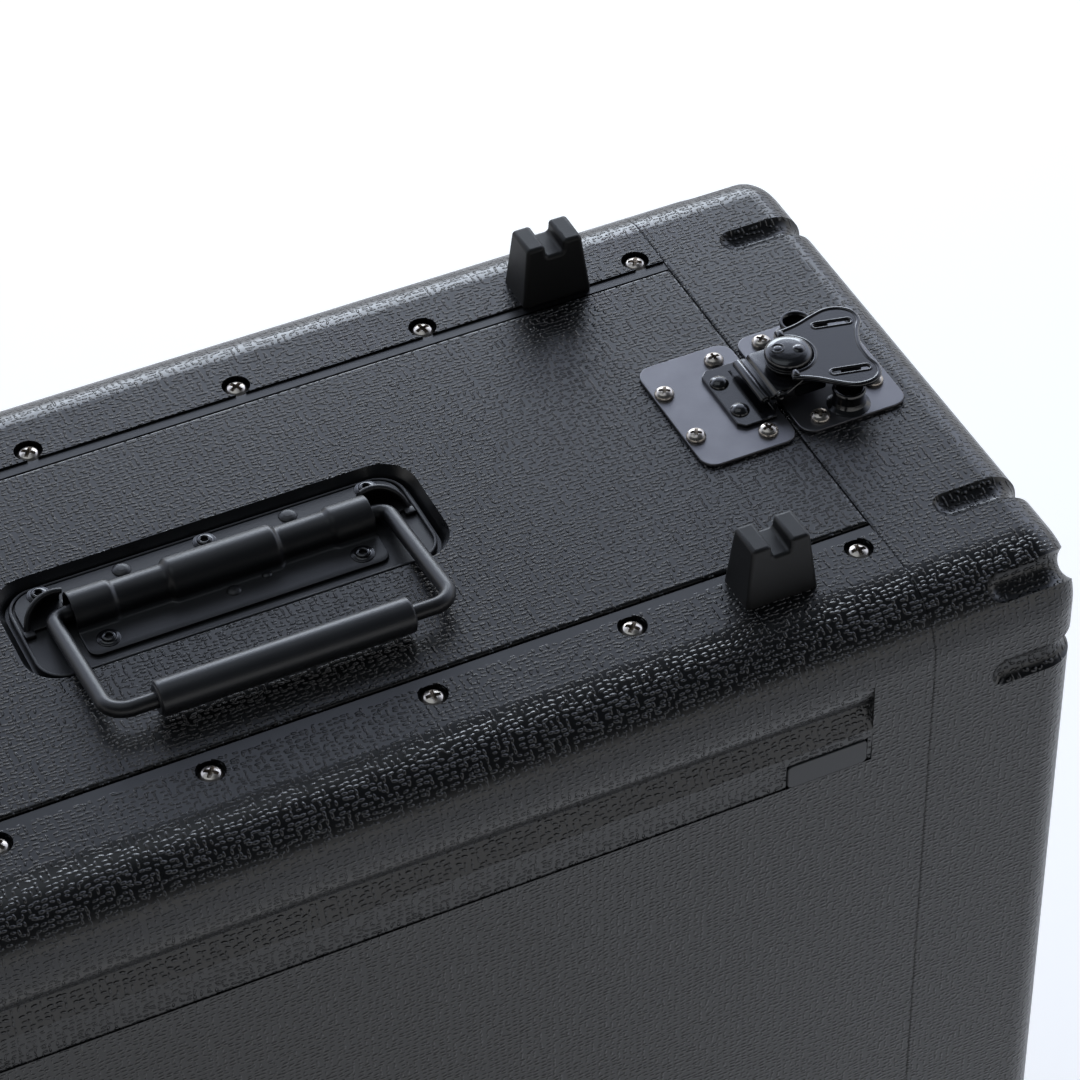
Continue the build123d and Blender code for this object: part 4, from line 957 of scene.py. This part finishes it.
def make_bails():
    """Wire bails and the sleeves on them."""
    points = [bail_point(BAIL_INNER, 0), bail_point(BAIL_HALF, 0), bail_point(BAIL_HALF, BAIL_REACH),
              bail_point(-BAIL_HALF, BAIL_REACH), bail_point(-BAIL_HALF, 0), bail_point(-BAIL_INNER, 0)]
    line = filleted(points, (0, 4.6, 8.0, 8.0, 4.6, 0), closed=False, steps=12)
    put_both(wire("bail", line, BAIL_WIRE, sides=8), "bail", "bail")
    profile = [(3.05, -47.5), (5.3, -47.5), (5.6, -47.1), (6.35, -46.9), (6.5, -46.3), (6.5, 46.3),
               (6.35, 46.9), (5.6, 47.1), (5.3, 47.5), (3.05, 47.5)]
    sleeve = turned("grip", profile, 0.35, 56, shut=True)
    x, y, z = bail_point(0, BAIL_REACH)
    sleeve = moved(sleeve, turn=(0, math.pi / 2, 0))
    put_both(moved(sleeve, (x, y, z)), "grip", "bail", "grip_plastic")


def make_handle_rivets():
    """Hollow rivets with a rolled rim in a shallow dish."""
    tail_foot = RIVET_FOOT - COVER_TOP
    profile = [(1.3, tail_foot), (1.3, 1.15), (1.75, 1.5), (2.5, 1.3), (2.75, 0.5), (3.4, 0.35), (4.3, 0.3),
               (4.5, -0.05), (2.0, -0.05), (2.0, tail_foot + 1), (3.2, tail_foot + 1), (3.2, tail_foot)]
    rivet = turned("rivet", profile, 0.15, 36, shut=True)
    for face_name, face in FACES.items():
        for index, (x, y) in enumerate(HANDLE_RIVETS):
            matrix = mirrored(1, 1, face) @ at(x, y, COVER_TOP)
            name = "%s_rivet_%d" % (face_name, index + 1)
            put(rivet, name, "case", "handle_rivets", matrix, "black_steel")
    bpy.data.objects.remove(rivet)


def make_handle_springs():
    """Torsion springs round the bail's ends inside the barrel."""
    sides = 18
    count = SPRING_TURNS * sides
    line = [Vector((SPRING_PLACE + SPRING_LENGTH * step / count,
                    SPRING_RADIUS * math.cos(math.tau * step / sides) + BARREL_PLACE,
                    SPRING_RADIUS * math.sin(math.tau * step / sides) + BARREL_AXIS))
            for step in range(count + 1)]
    spring = wire("spring", line, 0.4, sides=2)
    for index, (end, face) in enumerate(PLACES.values()):
        matrix = mirrored(end, 1, face) @ at(0, 0, 0)
        put(spring, "handle_spring_%d" % (index + 1), "case", "handle_springs", matrix)
    bpy.data.objects.remove(spring)


# Feet and pads

def make_feet():
    """Tapered feet with a flat-floored notch between two rounded ridges."""
    half_x, half_y = FOOT_BASE[0] / 2, FOOT_BASE[1] / 2
    foot = block("foot", (-half_x, -half_y, -FOOT_SINK), (half_x, half_y, FOOT_HEIGHT), edge=0)
    start(foot, "foot")
    bpy.ops.object.mode_set(mode="EDIT")
    bpy.ops.mesh.select_mode(type="FACE")
    form = bmesh.from_edit_mesh(foot.data)
    for face in form.faces:
        face.select_set(face.normal.z > 0.5)
    bmesh.update_edit_mesh(foot.data)
    bpy.ops.transform.resize(value=(FOOT_TOP[0] / FOOT_BASE[0], FOOT_TOP[1] / FOOT_BASE[1], 1))
    bpy.ops.object.mode_set(mode="OBJECT")
    notch = [(-3.9, 27), (-3.6, 19.8), (3.6, 19.8), (3.9, 27)]
    cut_by(foot, folded("notch", filleted(notch, (0, 1.5, 1.5, 0)), 12, 0.05))
    shaped(foot, "BEVEL", width=1.7, segments=5, angle_limit=math.radians(28))
    closed_up(foot)
    for face_name, face in FACES.items():
        for index, (end, side) in enumerate(((1, 1), (1, -1), (-1, 1), (-1, -1))):
            matrix = mirrored(end, side, face) @ at(*FOOT_PLACE, 0)
            node = face_name + "_feet"
            put(foot, "%s_foot_%d" % (face_name, index + 1), "case", node, matrix)
    bpy.data.objects.remove(foot)


def make_pads():
    """Stacking pads with rounded corners, on the long faces."""
    half_x, half_y = PAD_HALF
    pad = stamped("pad", [oblong(-half_x, half_x, -half_y, half_y, 2.0)], -1.5, 0.4, 0.4)
    pad = moved(pad, turn=(math.pi / 2, 0, 0))
    ways = [(end, side, face) for end in (1, -1) for side in (1, -1) for face in (1, -1)]
    for index, way in enumerate(ways):
        matrix = mirrored(*way) @ at(PAD_PLACE, -SIDE / MM, -PAD_DROP)
        put(pad, "stacking_pad_%d" % (index + 1), "case", "stacking_pads", matrix)
    bpy.data.objects.remove(pad)


# Stage, light and camera

def make_floor():
    """A plain pale floor that shows white and keeps the case's shadow."""
    bpy.ops.mesh.primitive_plane_add(size=14.0, location=(0, 0, -0.001))
    floor = bpy.context.object
    floor.name = "floor"
    material, tree, shader = new_material("pale_floor")
    shader.inputs["Base Color"].default_value = tone(0.8, 0.8, 0.8)
    shader.inputs["Roughness"].default_value = 0.9
    shader.inputs["Emission Color"].default_value = tone(1, 1, 1)
    tree.links.new(calc(tree, "MULTIPLY", background_rays(tree), 0.45), shader.inputs["Emission Strength"])
    floor.data.materials.append(material)


def background_rays(tree):
    """1 for what the eye, a gloss or a clear surface sees, and 0 for the light on the case."""
    path = add(tree, "LightPath")
    gloss = calc(tree, "ADD", path.outputs["Is Glossy Ray"], path.outputs["Is Transmission Ray"])
    made = calc(tree, "ADD", path.outputs["Is Camera Ray"], gloss)
    made.node.use_clamp = True
    return made


def make_world():
    """A studio: a white backdrop at the horizon, bright behind the case and dark above its front."""
    world = bpy.data.worlds.new("studio")
    bpy.context.scene.world = world
    world.use_nodes = True
    tree = world.node_tree
    background = tree.nodes["Background"]
    way = add(tree, "TexCoord").outputs["Generated"]
    parts = add(tree, "SeparateXYZ", {0: way})
    rise = parts.outputs[2]
    behind = add(tree, "VectorMath", {0: way, 1: (0.42, 0.9, 0.1)}, operation="DOT_PRODUCT")
    back_share = ramp(tree, behind.outputs["Value"], -0.1, 0.85)
    low_share = ramp(tree, rise, 0.79, 0.54)
    glow = calc(tree, "MULTIPLY", back_share, low_share)
    ceiling = mix_colour(tree, glow, tone(0.045, 0.05, 0.057), tone(1.72, 1.9, 2.35))
    horizon = calc(tree, "MULTIPLY", background_rays(tree), ramp(tree, rise, 0.3, 0.12))
    shown = mix_colour(tree, horizon, ceiling, tone(1, 1, 1))
    tree.links.new(shown, background.inputs["Color"])
    background.inputs["Strength"].default_value = 1.0


def make_lamp(name, place, aim, size, power):
    """One soft rectangular lamp."""
    bpy.ops.object.light_add(type="AREA", location=place)
    lamp = bpy.context.object
    lamp.name = name
    lamp.data.shape = "RECTANGLE"
    lamp.data.size, lamp.data.size_y = size
    lamp.data.energy = power
    lamp.data.color = LAMP_COLOUR
    lamp.rotation_euler = (Vector(aim) - Vector(place)).to_track_quat("-Z", "Y").to_euler()
    lamp.visible_camera = False


def make_camera():
    """The photograph's camera."""
    data = bpy.data.cameras.new("camera")
    camera = bpy.data.objects.new("camera", data)
    bpy.context.scene.collection.objects.link(camera)
    data.sensor_width = 36.0
    data.lens = CAMERA_LENS
    data.clip_start = 0.05
    data.clip_end = 60.0
    right = Vector(CAMERA_RIGHT)
    up = Vector(CAMERA_UP)
    back = right.cross(up)
    turn = Matrix((right, up, back)).transposed().to_4x4()
    camera.matrix_world = Matrix.Translation(CAMERA_PLACE) @ turn
    bpy.context.scene.camera = camera


dress_cad_nodes()
make_screws()
make_keepers()
make_latch_plates()
make_knobs()
make_wings()
make_hooks()
make_handle_bases()
make_handle_covers()
make_bails()
make_handle_rivets()
make_handle_springs()
make_feet()
make_pads()
make_floor()
make_world()
make_lamp("back_softbox", (0.8, 1.75, 1.2), (0, 0, 0.5), (1.3, 0.5), 16)
make_lamp("top_softbox", (-0.4, 0.3, 2.4), (0, 0, 0.5), (1.6, 1.6), 6)
make_camera()

scene = bpy.context.scene
scene.view_settings.view_transform = "Standard"
